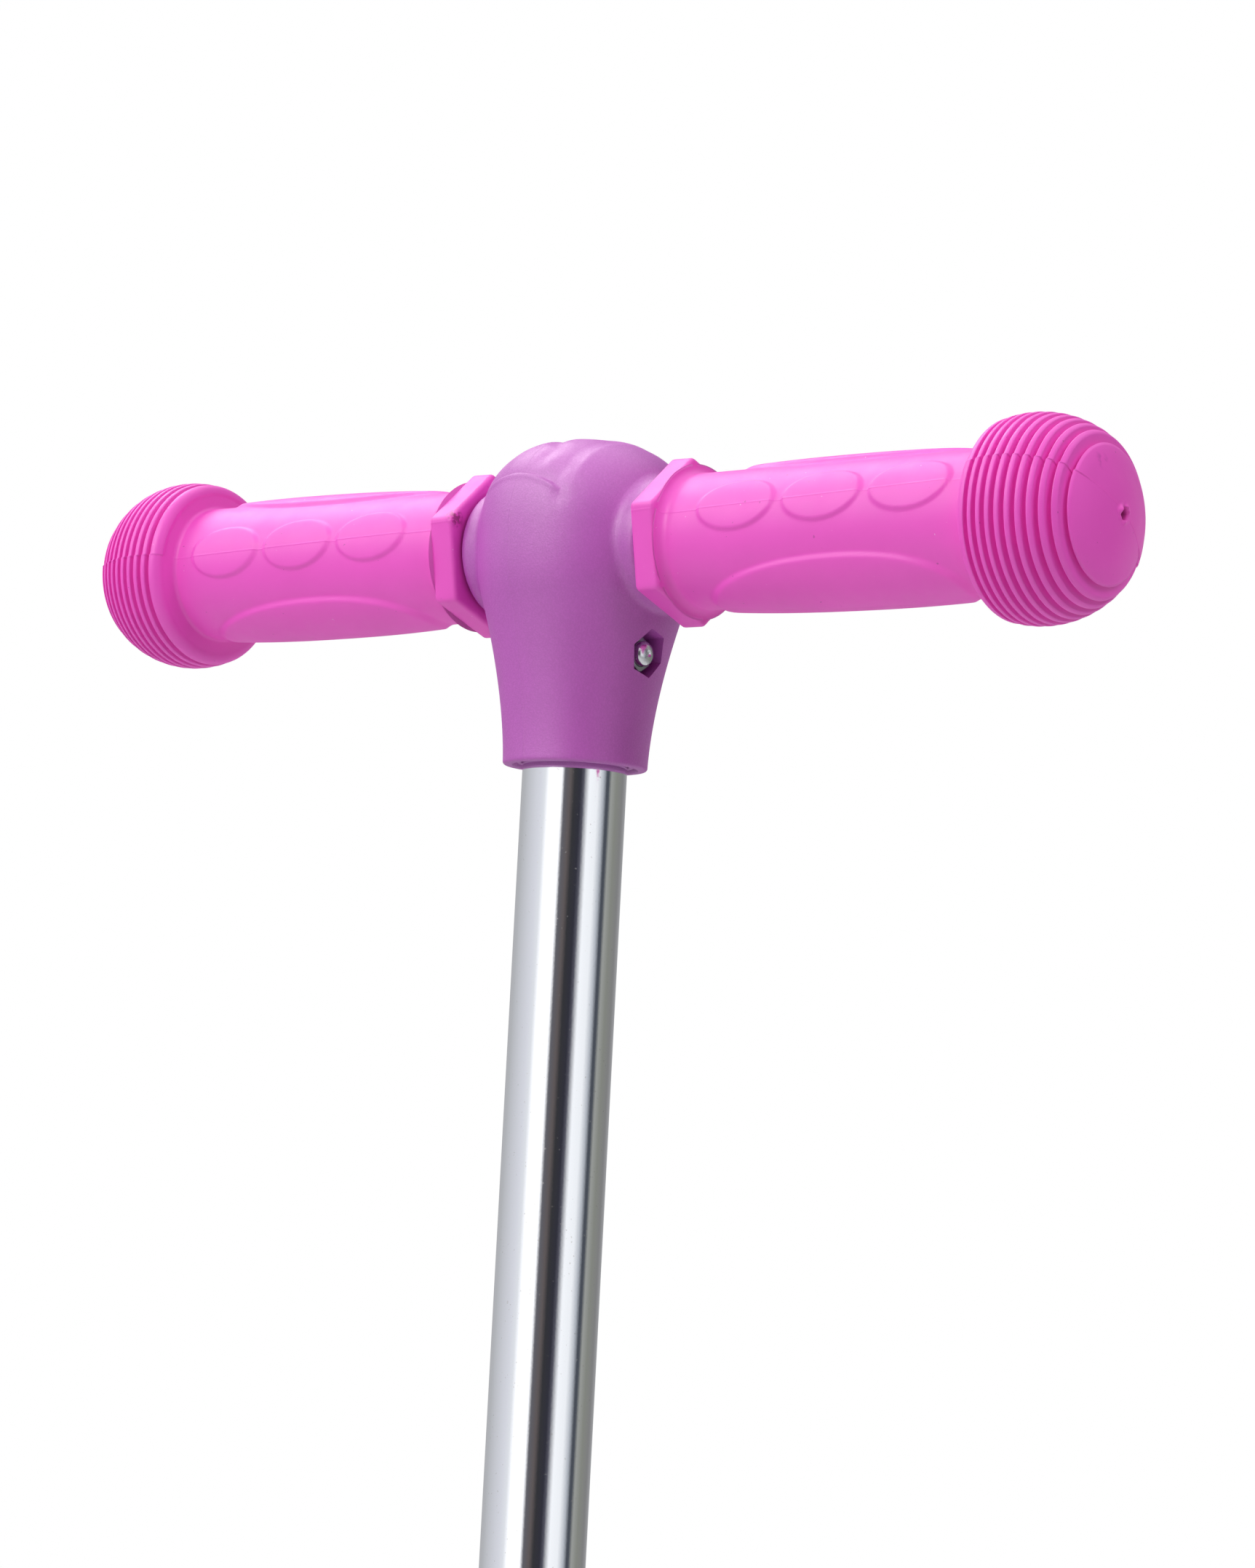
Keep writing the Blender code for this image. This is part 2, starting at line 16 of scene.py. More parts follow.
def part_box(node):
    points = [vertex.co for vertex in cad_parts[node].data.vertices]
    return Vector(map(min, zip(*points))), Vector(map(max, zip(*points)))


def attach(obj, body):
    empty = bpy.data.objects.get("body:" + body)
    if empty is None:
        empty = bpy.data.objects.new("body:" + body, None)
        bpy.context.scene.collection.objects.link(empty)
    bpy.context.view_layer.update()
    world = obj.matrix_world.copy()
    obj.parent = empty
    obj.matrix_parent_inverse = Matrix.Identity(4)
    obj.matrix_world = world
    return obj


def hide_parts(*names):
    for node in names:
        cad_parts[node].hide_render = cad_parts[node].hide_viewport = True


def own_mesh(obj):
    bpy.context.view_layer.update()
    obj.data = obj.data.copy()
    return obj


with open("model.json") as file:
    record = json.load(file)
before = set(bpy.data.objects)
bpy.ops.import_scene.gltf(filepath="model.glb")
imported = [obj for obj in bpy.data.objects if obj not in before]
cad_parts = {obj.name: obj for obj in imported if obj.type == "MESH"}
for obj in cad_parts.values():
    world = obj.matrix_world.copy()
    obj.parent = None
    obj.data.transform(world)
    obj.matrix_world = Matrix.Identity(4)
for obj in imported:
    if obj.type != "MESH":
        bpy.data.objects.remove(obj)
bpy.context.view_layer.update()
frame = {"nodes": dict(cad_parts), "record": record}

MM = 0.001


def node_box(name):
    """Lowest and highest corners of a CAD node, in millimetres."""
    low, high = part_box(name)
    return np.array(low) / MM, np.array(high) / MM


# ---------------------------------------------------------------- places taken from the frame

BAR_LOW, BAR_HIGH = node_box("crossbar")
BAR_Z = (BAR_LOW[2] + BAR_HIGH[2]) / 2
GRIP_LOW, GRIP_HIGH = node_box("grip_right")
FLANGE_IN = GRIP_LOW[0]
GRIP_END = GRIP_HIGH[0]
HUB_LOW, HUB_HIGH = node_box("handle_hub")
HUB_TOP = HUB_HIGH[2] - BAR_Z
HUB_RIM = HUB_LOW[2] - BAR_Z
TUBE_LOW, TUBE_HIGH = node_box("outer_tube")
TUBE_R = TUBE_HIGH[0]
BOLT_LOW, BOLT_HIGH = node_box("hub_bolt")
BOLT_Z = (BOLT_LOW[2] + BOLT_HIGH[2]) / 2
GAP = 0.3                   # play between fitted pieces


# ---------------------------------------------------------------- mesh helpers

def smooth(t):
    """Eases from 0 to 1 as t goes from 0 to 1."""
    t = np.clip(t, 0, 1)
    return t * t * (3 - 2 * t)


def linked(name, data):
    """A new object in the scene."""
    obj = bpy.data.objects.new(name, data)
    bpy.context.scene.collection.objects.link(obj)
    return obj


def mesh_object(name, points, faces):
    """An object from points in millimetres, with its faces turned outwards."""
    mesh = bpy.data.meshes.new(name)
    mesh.from_pydata((np.asarray(points) * MM).tolist(), [], faces)
    bm = bmesh.new()
    bm.from_mesh(mesh)
    bmesh.ops.recalc_face_normals(bm, faces=bm.faces)
    bm.to_mesh(mesh)
    bm.free()
    return linked(name, mesh)


def mesh_piece(name, points, faces, material, body, sharp=None):
    """A smooth-shaded piece riding on a body; edges past the sharp angle in degrees stay hard."""
    obj = mesh_object(name, points, faces)
    obj.data.materials.append(material)
    obj.data.shade_smooth()
    if sharp:
        obj.data.set_sharp_from_angle(angle=math.radians(sharp))
    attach(obj, body)
    return obj


def circle(radius, z, angles):
    """A ring of points about Z; its radius and height may change with the angle."""
    height = np.broadcast_to(z, angles.shape)
    return np.stack([radius * np.cos(angles), radius * np.sin(angles), height], 1)


def skin(rings, loop=False):
    """Points and faces of a skin through rings of points.

    In a loop the last ring joins the first; otherwise a fan closes each end.
    """
    rings = np.asarray(rings)
    count, around = rings.shape[:2]
    here = np.arange(around)
    beside = (here + 1) % around
    faces = []
    for i in range(count if loop else count - 1):
        low = i * around
        high = (i + 1) % count * around
        faces += np.stack([low + here, low + beside, high + beside, high + here], 1).tolist()
    points = list(rings.reshape(-1, 3))
    if not loop:
        for ring in (0, count - 1):
            start = ring * around
            tip = len(points)
            points.append(rings[ring].mean(axis=0))
            faces += [[start + int(a), start + int(b), tip] for a, b in zip(here, beside)]
    return np.array(points), faces


def round_profile(corners, radius, steps=3):
    """The corners of a closed (radius, height) outline, each replaced by a small arc."""
    longest = 0.45              # share of the shorter side that an arc may take
    points = []
    count = len(corners)
    for i in range(count):
        here = np.array(corners[i], float)
        before = np.array(corners[i - 1], float) - here
        after = np.array(corners[(i + 1) % count], float) - here
        reach = min(radius, np.linalg.norm(before) * longest, np.linalg.norm(after) * longest)
        start = here + before / np.linalg.norm(before) * reach
        end = here + after / np.linalg.norm(after) * reach
        for k in range(steps + 1):
            t = k / steps
            bend = (1 - t) ** 2 * start + 2 * t * (1 - t) * here + t ** 2 * end
            points.append(tuple(bend))
    return points


def full_turn(around):
    """Angles of one full turn, in radians."""
    return np.linspace(0, 2 * math.pi, around, endpoint=False)


def from_flat(angles):
    """How far each angle is from the middle of the nearest side of a hexagon."""
    sixth = math.pi / 3
    return (angles + sixth / 2) % sixth - sixth / 2


def placed(points, matrix):
    """Points moved by a 4x4 matrix whose translation is in millimetres."""
    turn = np.array(matrix.to_3x3())
    return np.asarray(points) @ turn.T + np.array(matrix.translation)


def lying_along(direction, place):
    """The matrix that turns local Z to a direction and moves the origin to a place."""
    turn = Vector(direction).to_track_quat("Z", "Y").to_matrix().to_4x4()
    return Matrix.Translation(Vector(place)) @ turn


def cut_away(obj, cutters):
    """Cut shapes out of a piece, apply the cuts and remove the cutters."""
    for tool in cutters:
        boolean = obj.modifiers.new("cut", "BOOLEAN")
        boolean.operation = "DIFFERENCE"
        boolean.solver = "EXACT"
        boolean.object = tool
    bpy.context.view_layer.update()
    graph = bpy.context.evaluated_depsgraph_get()
    mesh = bpy.data.meshes.new_from_object(obj.evaluated_get(graph))
    obj.modifiers.clear()
    obj.data = mesh
    for tool in cutters:
        bpy.data.objects.remove(tool, do_unlink=True)


def prism(sides, radius, low, high, phase=0.0):
    """Points and faces of a prism along Z, with its first corner at phase degrees."""
    angles = full_turn(sides) + math.radians(phase)
    return skin([circle(radius, z, angles) for z in (low, high)])


# ---------------------------------------------------------------- materials

class Nodes:
    """Short calls for building a node tree."""

    def __init__(self, tree):
        self.tree = tree

    def add(self, kind, settings=None, **inputs):
        node = self.tree.nodes.new(kind)
        for key, value in (settings or {}).items():
            setattr(node, key, value)
        for key, value in inputs.items():
            self.set(node, key.replace("_", " "), value)
        return node

    def set(self, node, key, value):
        socket = node.inputs[int(key)] if key.isdigit() else node.inputs[key]
        if isinstance(value, bpy.types.NodeSocket):
            self.tree.links.new(value, socket)
        else:
            socket.default_value = value

    def math(self, operation, a, b=0.0, c=0.0):
        node = self.tree.nodes.new("ShaderNodeMath")
        node.operation = operation
        self.set(node, "0", a)
        self.set(node, "1", b)
        self.set(node, "2", c)
        return node.outputs[0]

    def noise(self, vector, scale, detail=3.0, roughness=0.5):
        node = self.add("ShaderNodeTexNoise", Vector=vector, Scale=scale, Detail=detail,
                        Roughness=roughness)
        return node.outputs["Fac"]

    def ramp(self, factor, stops):
        """A colour ramp from (position, grey or colour) stops."""
        node = self.tree.nodes.new("ShaderNodeValToRGB")
        elements = node.color_ramp.elements
        while len(elements) < len(stops):
            elements.new(0.5)
        for element, (position, value) in zip(elements, stops):
            element.position = position
            colour = value if isinstance(value, tuple) else (value, value, value)
            element.color = (*colour, 1.0)
        self.set(node, "0", factor)
        return node.outputs["Color"]

    def mix(self, factor, a, b):
        node = self.tree.nodes.new("ShaderNodeMix")
        node.data_type = "RGBA"
        self.set(node, "0", factor)
        self.set(node, "6", a)
        self.set(node, "7", b)
        return node.outputs[2]

    def spot(self, vector, centre, radius):
        """1 near a point given in millimetres, fading to 0 at the radius."""
        away = self.tree.nodes.new("ShaderNodeVectorMath")
        away.operation = "DISTANCE"
        self.set(away, "0", vector)
        self.set(away, "1", [c * MM for c in centre])
        share = self.math("DIVIDE", away.outputs["Value"], radius * MM)
        return self.ramp(share, [(0.45, 1.0), (1.0, 0.0)])

    def bump(self, height, distance, strength=1.0, normal=None):
        """Relief of a given full height in millimetres."""
        node = self.add("ShaderNodeBump", Height=height, Distance=distance * MM,
                        Strength=strength)
        if normal is not None:
            self.set(node, "Normal", normal)
        return node.outputs["Normal"]


def new_material(name):
    material = bpy.data.materials.new(name)
    material.use_nodes = True
    tree = material.node_tree
    nodes = Nodes(tree)
    shader = tree.nodes["Principled BSDF"]
    place = nodes.add("ShaderNodeTexCoord").outputs["Object"]
    return material, nodes, shader, place


def rgba(colour, factor=1.0):
    return (*[c * factor for c in colour], 1.0)


def soft_pvc():
    """Satin pink PVC with faint flow marks, dust, dark specks, a scar, a smudge, and painted shade
    inside the two cap pinholes.
    """
    material, nodes, shader, place = new_material("pink_pvc")
    base = (0.93, 0.088, 0.62)
    cloud = nodes.noise(place, 35.0, 4.0)
    tone = nodes.mix(nodes.ramp(cloud, [(0.3, 0.0), (0.7, 1.0)]), rgba(base, 0.965),
                     rgba(base, 1.03))
    dust = nodes.noise(place, 900.0, 1.0)
    dusty = nodes.mix(nodes.ramp(dust, [(0.80, 0.0), (0.83, 0.5)]), tone, (0.95, 0.55, 0.85, 1))
    specks = nodes.noise(place, 1150.0, 0.0)
    specked = nodes.mix(nodes.ramp(specks, [(0.11, 0.5), (0.14, 0.0)]), dusty,
                        (0.35, 0.02, 0.20, 1))
    scar = nodes.spot(place, (-27.6, -16.7, BAR_Z + 6.6), 2.6)
    pits = nodes.noise(place, 950.0, 2.0)
    scarred = nodes.math("MULTIPLY", scar, nodes.ramp(pits, [(0.44, 1.0), (0.56, 0.0)]))
    marked = nodes.mix(scarred, specked, (0.42, 0.02, 0.22, 1))
    smudge = nodes.spot(place, (147.6, -5.5, BAR_Z + 11.0), 2.6)
    streak = nodes.ramp(nodes.noise(place, 420.0, 3.0), [(0.48, 0.0), (0.62, 0.5)])
    marked = nodes.mix(nodes.math("MULTIPLY", smudge, streak), marked, (0.55, 0.03, 0.36, 1))
    # Painted shade: colour darkens the inside of each cap's pinhole, standing in for the shadow in
    # the hole.
    for side in (-1, 1):
        hole = nodes.spot(place, (side * (GRIP_END - 2.9), 0, BAR_Z), 3.0)
        marked = nodes.mix(hole, marked, (0.16, 0.0, 0.045, 1))
    nodes.set(shader, "Base Color", marked)
    grain = nodes.noise(place, 2600.0, 2.0)
    swirl = nodes.noise(place, 220.0, 3.0)
    nodes.set(shader, "Roughness", nodes.math("MULTIPLY_ADD", swirl, 0.16, 0.42))
    fine = nodes.bump(grain, 0.02, 0.5)
    rough = nodes.bump(nodes.math("MULTIPLY", pits, scar), 0.8, 1.0, fine)
    nodes.set(shader, "Normal", nodes.bump(swirl, 0.06, 0.5, rough))
    nodes.set(shader, "IOR", 1.70)
    return material


SEAM_WIDTH = 0.22           # the faint line where the hub's mould halves met
SEAM_HEIGHT = 0.06
SEAM_SLANT = 0.12           # how far the line drifts along X for each millimetre towards the back


def grained_plastic():
    """Purple moulded plastic with a fine spark-eroded grain that glints in the highlights."""
    material, nodes, shader, place = new_material("purple_plastic")
    base = (0.455, 0.064, 0.445)
    cloud = nodes.noise(place, 60.0, 4.0)
    tone = nodes.mix(nodes.ramp(cloud, [(0.3, 0.0), (0.7, 1.0)]), rgba(base, 0.96),
                     rgba(base, 1.05))
    grain = nodes.noise(place, 2400.0, 3.0, 0.65)
    fleck = nodes.mix(nodes.ramp(grain, [(0.45, 0.0), (0.75, 0.5)]), tone, rgba(base, 1.35))
    nodes.set(shader, "Base Color", fleck)
    nodes.set(shader, "Roughness", nodes.ramp(grain, [(0.3, 0.58), (0.7, 0.40)]))
    coarse = nodes.noise(place, 1100.0, 2.0)
    fine = nodes.bump(grain, 0.08)
    grained = nodes.bump(coarse, 0.05, 0.5, fine)
    parts = nodes.add("ShaderNodeSeparateXYZ", Vector=place)
    aside = nodes.math("ABSOLUTE", nodes.math("MULTIPLY_ADD", parts.outputs["Y"], -SEAM_SLANT,
                                              parts.outputs["X"]))
    seam = nodes.ramp(nodes.math("DIVIDE", aside, SEAM_WIDTH * MM), [(0.3, 1.0), (1.0, 0.0)])
    nodes.set(shader, "Normal", nodes.bump(seam, SEAM_HEIGHT, 1.0, grained))
    nodes.set(shader, "IOR", 2.05)
    return material


def bright_metal(name, colour, roughness):
    """Polished tube metal: drawing lines along Z, fine pits and dust specks."""
    material, nodes, shader, place = new_material(name)
    along = nodes.add("ShaderNodeMapping", Vector=place, Scale=(1.0, 1.0, 0.012)).outputs[0]
    lines = nodes.noise(along, 900.0, 3.0, 0.6)
    specks = nodes.noise(place, 1500.0, 0.0)
    spots = nodes.ramp(specks, [(0.80, 0.0), (0.84, 0.4)])
    nodes.set(shader, "Base Color", nodes.mix(spots, rgba(colour), (0.55, 0.52, 0.47, 1)))
    nodes.set(shader, "Metallic", 1.0)
    cloudy = nodes.noise(place, 80.0, 3.0)
    rough = nodes.math("MULTIPLY_ADD", cloudy, 0.05, roughness)
    nodes.set(shader, "Roughness", nodes.math("MULTIPLY_ADD", spots, 0.4, rough))
    drawn = nodes.bump(lines, 0.004, 0.35)
    nodes.set(shader, "Normal", nodes.bump(specks, 0.01, 0.3, drawn))
    return material


def plated_steel(name, colour, roughness):
    """Zinc or nickel plate with a mottled, faintly pitted surface."""
    material, nodes, shader, place = new_material(name)
    mottle = nodes.noise(place, 450.0, 4.0, 0.6)
    nodes.set(shader, "Base Color", nodes.mix(mottle, rgba(colour, 0.78), rgba(colour, 1.12)))
    nodes.set(shader, "Metallic", 1.0)
    nodes.set(shader, "Roughness", nodes.math("MULTIPLY_ADD", mottle, 0.25, roughness))
    pits = nodes.noise(place, 1800.0, 2.0)
    nodes.set(shader, "Normal", nodes.bump(pits, 0.04, 0.5))
    return material


def dull_polymer(name, colour, roughness, grain_scale, grain_depth):
    """Black nylon or rubber with a fine moulded texture and dusty high spots."""
    material, nodes, shader, place = new_material(name)
    cloud = nodes.noise(place, 90.0, 5.0, 0.6)
    dusty = nodes.ramp(cloud, [(0.45, 0.0), (0.85, 1.0)])
    nodes.set(shader, "Base Color", nodes.mix(dusty, rgba(colour), rgba(colour, 2.2)))
    grain = nodes.noise(place, grain_scale, 3.0)
    nodes.set(shader, "Roughness", nodes.math("MULTIPLY_ADD", grain, 0.2, roughness))
    nodes.set(shader, "Normal", nodes.bump(grain, grain_depth, 0.7))
    return material


PINK = soft_pvc()
PURPLE = grained_plastic()
BRIGHT = bright_metal("bright_tube", (0.90, 0.91, 0.93), 0.045)
STEEL = plated_steel("plated_steel", (0.62, 0.63, 0.65), 0.22)
SPRING_STEEL = plated_steel("spring_steel", (0.42, 0.43, 0.46), 0.18)
ZINC = plated_steel("zinc_plate", (0.80, 0.82, 0.84), 0.12)
NYLON = dull_polymer("black_nylon", (0.022, 0.022, 0.025), 0.38, 1600.0, 0.03)
BRACKET = plated_steel("bracket_steel", (0.30, 0.31, 0.33), 0.30)
RUBBER = dull_polymer("black_rubber", (0.016, 0.016, 0.016), 0.55, 900.0, 0.06)


# ---------------------------------------------------------------- grips

FLANGE_THICK = 6.9
FLANGE_APOTHEM = 17.4
FLANGE_CORNER = 1.4         # rounding of the hexagon's corners
FLANGE_EDGE = 1.1           # rounding of the flange's two rims
FLANGE_TILT = 11.0          # degrees that the front flat looks down
FLANGE_FILLET = 2.4
GRIP_R = 16.0
SEAM_AT_FLANGE = 15.7       # degrees of the mould seam above the front, at the flange
SEAM_TWIST = 0.125          # degrees for each millimetre along +X
SEAM_FROM = 36.0            # distance at which the twist starts to count
PAD_MID = 79.2
PAD_HALF_LENGTH = 37.5
PAD_SLOPE = 2.3             # how square the pads' outline is
PAD_RISE = 1.85
OVAL_FIRST = 55.5
OVAL_PITCH = 24.0
OVAL_HALF_LENGTH = 11.2
OVAL_HALF_ANGLE = 23.5
OVAL_RISE = 0.7
BALL_MID = 129.1
BALL_R = 23.8
NECK_END = 119.3
BACK_R = 20.3               # where the ball's flat back starts to round over
BACK_S = 120.9
RIB_START = 123.46
RIB_PITCH = 2.36
GROOVE_COUNT = 10
GROOVE_WIDTH = 1.2
GROOVE_DEPTH = 2.4
HALF_SHIFT = 0.3            # the upper mould half sits this much further along +X
CAP_EDGE = 145.7
CAP_R = 15.9
PINHOLE_R = 1.6


def hexagon_radius(angle, shrink):
    """Radius of the rounded hexagon at angles in radians, offset inwards by shrink."""
    apothem = FLANGE_APOTHEM - shrink
    corner = max(FLANGE_CORNER - shrink * 0.3, 0.5)
    turned = from_flat(angle)
    flat = apothem / np.cos(turned)
    from_corner = math.pi / 6 - np.abs(turned)
    centre = (apothem - corner) / math.cos(math.pi / 6)
    inside = np.clip(corner ** 2 - (centre * np.sin(from_corner)) ** 2, 0, None)
    rounded = centre * np.cos(from_corner) + np.sqrt(inside)
    on_corner = centre * np.sin(from_corner) < corner * 0.5
    return np.where(on_corner, np.minimum(rounded, flat), flat)


def ball_radius(s):
    """Radius of the ball's envelope at distance s from the middle of the crossbar."""
    return math.sqrt(max(BALL_R ** 2 - (s - BALL_MID) ** 2, 0.0))


def body_relief(s, seam_angle):
    """Palm pads above and below the grip and oval finger pads on its front and back."""
    rise = np.zeros_like(seam_angle)
    for middle, half_angle in ((-98.0, 51.0), (96.0, 47.0)):
        across = (seam_angle - middle + 180) % 360 - 180
        reach = (np.abs((s - PAD_MID) / PAD_HALF_LENGTH) ** PAD_SLOPE
                 + np.abs(across / half_angle) ** PAD_SLOPE) ** (1 / PAD_SLOPE)
        edge = smooth((1.0 - reach) / 0.075)
        crown = 0.45 + 0.55 * np.clip(1 - reach ** 2.4, 0, 1)
        rise = rise + PAD_RISE * edge * crown
    for middle in (2.2, 182.2):
        across = (seam_angle - middle + 180) % 360 - 180
        for k in range(3):
            centre = OVAL_FIRST + k * OVAL_PITCH
            reach = np.hypot((s - centre) / OVAL_HALF_LENGTH, across / OVAL_HALF_ANGLE)
            rise = rise + OVAL_RISE * smooth((1.0 - reach) / 0.09)
    return rise


def seam_ridge(seam_angle):
    """Height of the mould seam, a hair-thin ridge front and back."""
    from_seam = np.minimum(np.abs(seam_angle), 180 - np.abs(seam_angle))
    return 0.07 * np.exp(-(from_seam / 0.45) ** 2)


def upper_half(seam_angle):
    """1 on the upper mould half, 0 on the lower, with a sharp step at the two seams."""
    into = np.minimum(seam_angle, 180 - seam_angle)
    return smooth(into / 0.5 + 0.5)


def grip_stations():
    """The grip's outline as (distance, radius rule) pairs, from the bore out and round to the cap.

    A rule is ("round", radius) in the bore, ("hex", shrink) on the flange, ("body", radius,
    relief share), ("rib", radius), ("cap", radius), or ("pin", radius) in the pinhole.
    """
    flange_out = FLANGE_IN + FLANGE_THICK
    bore = BAR_HIGH[2] - BAR_Z + GAP
    chamfer = 0.6
    stations = [(BAR_HIGH[0] + GAP, ("round", bore)), (FLANGE_IN + chamfer, ("round", bore)),
                (FLANGE_IN, ("round", bore + chamfer))]
    for a in np.linspace(0, 90, 6):
        slip = FLANGE_EDGE * (1 - math.sin(math.radians(a)))
        stations.append((FLANGE_IN + FLANGE_EDGE * (1 - math.cos(math.radians(a))),
                         ("hex", slip)))
    for a in np.linspace(0, 90, 6):
        slip = FLANGE_EDGE * (1 - math.cos(math.radians(a)))
        stations.append((flange_out - FLANGE_EDGE * (1 - math.sin(math.radians(a))),
                         ("hex", slip)))
    for a in np.linspace(0, 90, 7):
        extra = FLANGE_FILLET * (1 - math.sin(math.radians(a)))
        stations.append((flange_out + FLANGE_FILLET * (1 - math.cos(math.radians(a))),
                         ("body", GRIP_R + extra, 1.0)))
    neck_start = flange_out + FLANGE_FILLET
    for s in np.linspace(neck_start, NECK_END, 140)[1:]:
        stations.append((s, ("body", neck_radius(s), 1.0)))
    stations += back_stations()
    stations += rib_stations()
    stations += cap_stations()
    return stations


def neck_radius(s):
    """Radius of the grip's body under the pads, a little thicker towards the ball."""
    return GRIP_R + 0.75 * (s - FLANGE_IN) / (NECK_END - FLANGE_IN)


def back_stations():
    """The tight fillet at the ball's back, its nearly flat face and the rounded rim."""
    stations = []
    fillet = 1.1
    start_r = neck_radius(NECK_END)
    for a in np.linspace(0, 75, 7)[1:]:
        turn = math.radians(a)
        stations.append((NECK_END + fillet * math.sin(turn),
                         ("body", start_r + fillet * (1 - math.cos(turn)), 1.0)))
    low_s, low_r = stations[-1][0], stations[-1][1][1]
    for t in np.linspace(0, 1, 7)[1:]:
        stations.append((low_s + (BACK_S - low_s) * t,
                         ("body", low_r + (BACK_R - low_r) * t, 1 - t)))
    rim_s = RIB_START - 0.25
    rim_r = ball_radius(rim_s)
    for a in np.linspace(0, 90, 12)[1:]:
        turn = math.radians(a)
        stations.append((rim_s - (rim_s - BACK_S) * math.cos(turn),
                         ("rib", BACK_R + (rim_r - BACK_R) * math.sin(turn))))
    return stations


def rib_stations():
    """Grooves with rounded lips: the first behind the smooth rim, the last before the cap."""
    stations = []
    lip = 0.25
    for k in range(GROOVE_COUNT):
        last = k == GROOVE_COUNT - 1
        start = RIB_START + k * RIB_PITCH
        end = CAP_EDGE if last else start + GROOVE_WIDTH
        r_start = ball_radius(start)
        r_end = CAP_R if last else ball_radius(end)
        floor = min(r_start, r_end) - GROOVE_DEPTH
        if k > 0:
            stations.append((start - lip, ("rib", ball_radius(start - lip))))
        stations += [(start - 0.07, ("rib", r_start - 0.07)), (start, ("rib", r_start - lip)),
                     (start + 0.05, ("rib", floor + 0.25)), (start + 0.3, ("rib", floor)),
                     (end - 0.3, ("rib", floor)), (end - 0.05, ("rib", floor + 0.25)),
                     (end, ("rib", r_end - lip)), (end + 0.07, ("rib", r_end - 0.07)),
                     (end + lip, ("rib", CAP_R if last else ball_radius(end + lip)))]
        if not last:
            middle = (end + start + RIB_PITCH) / 2
            stations.append((middle, ("rib", ball_radius(middle) + 0.04)))
    return stations


def cap_stations():
    """The domed cap, its pinhole and the hole's floor."""
    edge_s = CAP_EDGE + 0.25
    sag = GRIP_END - edge_s
    dome_r = (CAP_R ** 2 + sag ** 2) / (2 * sag)
    stations = []
    radii = [*np.linspace(CAP_R, 3.4, 18)[1:], *np.linspace(3.1, PINHOLE_R, 7)]
    for radius in radii:
        height = GRIP_END - dome_r + math.sqrt(dome_r ** 2 - radius ** 2)
        stations.append((height, ("cap", radius)))
    stations += [(GRIP_END - 0.7, ("pin", PINHOLE_R * 0.92)), (GRIP_END - 5.0, ("pin", 0.6))]
    return stations


def burr(radius, angle):
    """Torn flash round the pinhole: an uneven crater lip with one long tag."""
    lip = math.exp(-((radius - PINHOLE_R - 0.3) / 0.5) ** 2)
    uneven = 0.3 + 0.3 * np.sin(3 * angle + 0.8) + 0.2 * np.sin(7 * angle) \
        + 0.7 * np.exp(-((angle - 0.6) / 0.35) ** 2)
    return 0.8 * lip * np.clip(uneven, 0, None)


def grip_angles():
    """Seam angles in degrees, evenly spaced with more on each side of the two seams."""
    even = np.linspace(-180, 180, 252, endpoint=False)
    extra = [base + d for base in (0.0, 180.0) for d in (-0.9, -0.45, -0.12, 0.12, 0.45, 0.9)]
    angles = np.concatenate([even, (np.array(extra) + 180) % 360 - 180])
    angles = np.sort(angles)
    keep = np.concatenate([[True], np.diff(angles) > 0.12])
    return angles[keep]


def make_grip(name, side):
    """One grip; side is 1 on the right and -1 on the left."""
    seam_angles = grip_angles()
    rings = []
    for s, rule in grip_stations():
        turn = SEAM_AT_FLANGE + SEAM_TWIST * side * (s - SEAM_FROM)
        polar = np.radians(seam_angles + turn)
        kind = rule[0]
        along = np.full(len(polar), s)
        ridge = seam_ridge(seam_angles)
        if kind == "hex":
            radius = hexagon_radius(polar + math.radians(FLANGE_TILT), rule[1]) + ridge
        elif kind == "body":
            relief = body_relief(s, seam_angles) * rule[2]
            radius = rule[1] + relief + ridge
        elif kind == "rib":
            radius = rule[1] + ridge
            along = along + side * HALF_SHIFT * upper_half(seam_angles)
        elif kind == "cap":
            radius = np.full(len(polar), rule[1])
            shift = side * HALF_SHIFT * smooth((rule[1] - 10.0) / 5.0)
            along = along + ridge * smooth((rule[1] - 1.5) / 2.0) + burr(rule[1], polar)
            along = along + shift * upper_half(seam_angles)
        else:
            radius = np.full(len(polar), rule[1])
        rings.append(np.stack([side * along, -radius * np.cos(polar),
                               BAR_Z + radius * np.sin(polar)], 1))
    points, faces = skin(rings)
    grip = mesh_piece(name + "_soft", points, faces, PINK, "frame")
    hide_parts(name)


# ---------------------------------------------------------------- hub

BULB_R = 26.0
BULB_POWER = 2.65
SHOULDER = -13.0
SHOULDER_R = 24.4
RIM_R = 17.3
SKIRT_POWER = 1.66
COLLAR_R = 15.8
COLLAR_EDGE = 2.2
COLLAR_BLEND = 1.5
SOCKET_R = 14.3             # the hub's mouth round the sleeve
POCKET_FLOOR = 15.2         # distance of the bolt pockets' floors from the middle
WASHER_ROOM = 1.6           # room for the washer under the bolt's head
BOLT_END_R = 3.0
FARTHEST = 45.0             # past the hub's skin in every direction
HALVINGS = 34               # steps of the search for the skin
ARC_X = -3.4                # peak of the step above the front bulge
ARC_Z = 15.1
ARC_FALL_LEFT = 0.0171      # how fast the arc falls on each side of its peak
ARC_FALL_RIGHT = 0.0265
LOBE_X = 10.9               # foot of the right lobe's edge
ARC_STEP = 1.7              # depth of the step over the bulge, beside the lobe, and of the groove
LOBE_STEP = 1.6
GROOVE_STEP = 0.6
BEAD_RISE = 0.25            # height of the bead along the arc
NOTCH_STEP = 0.3            # depth of the dent where the arc meets the lobe


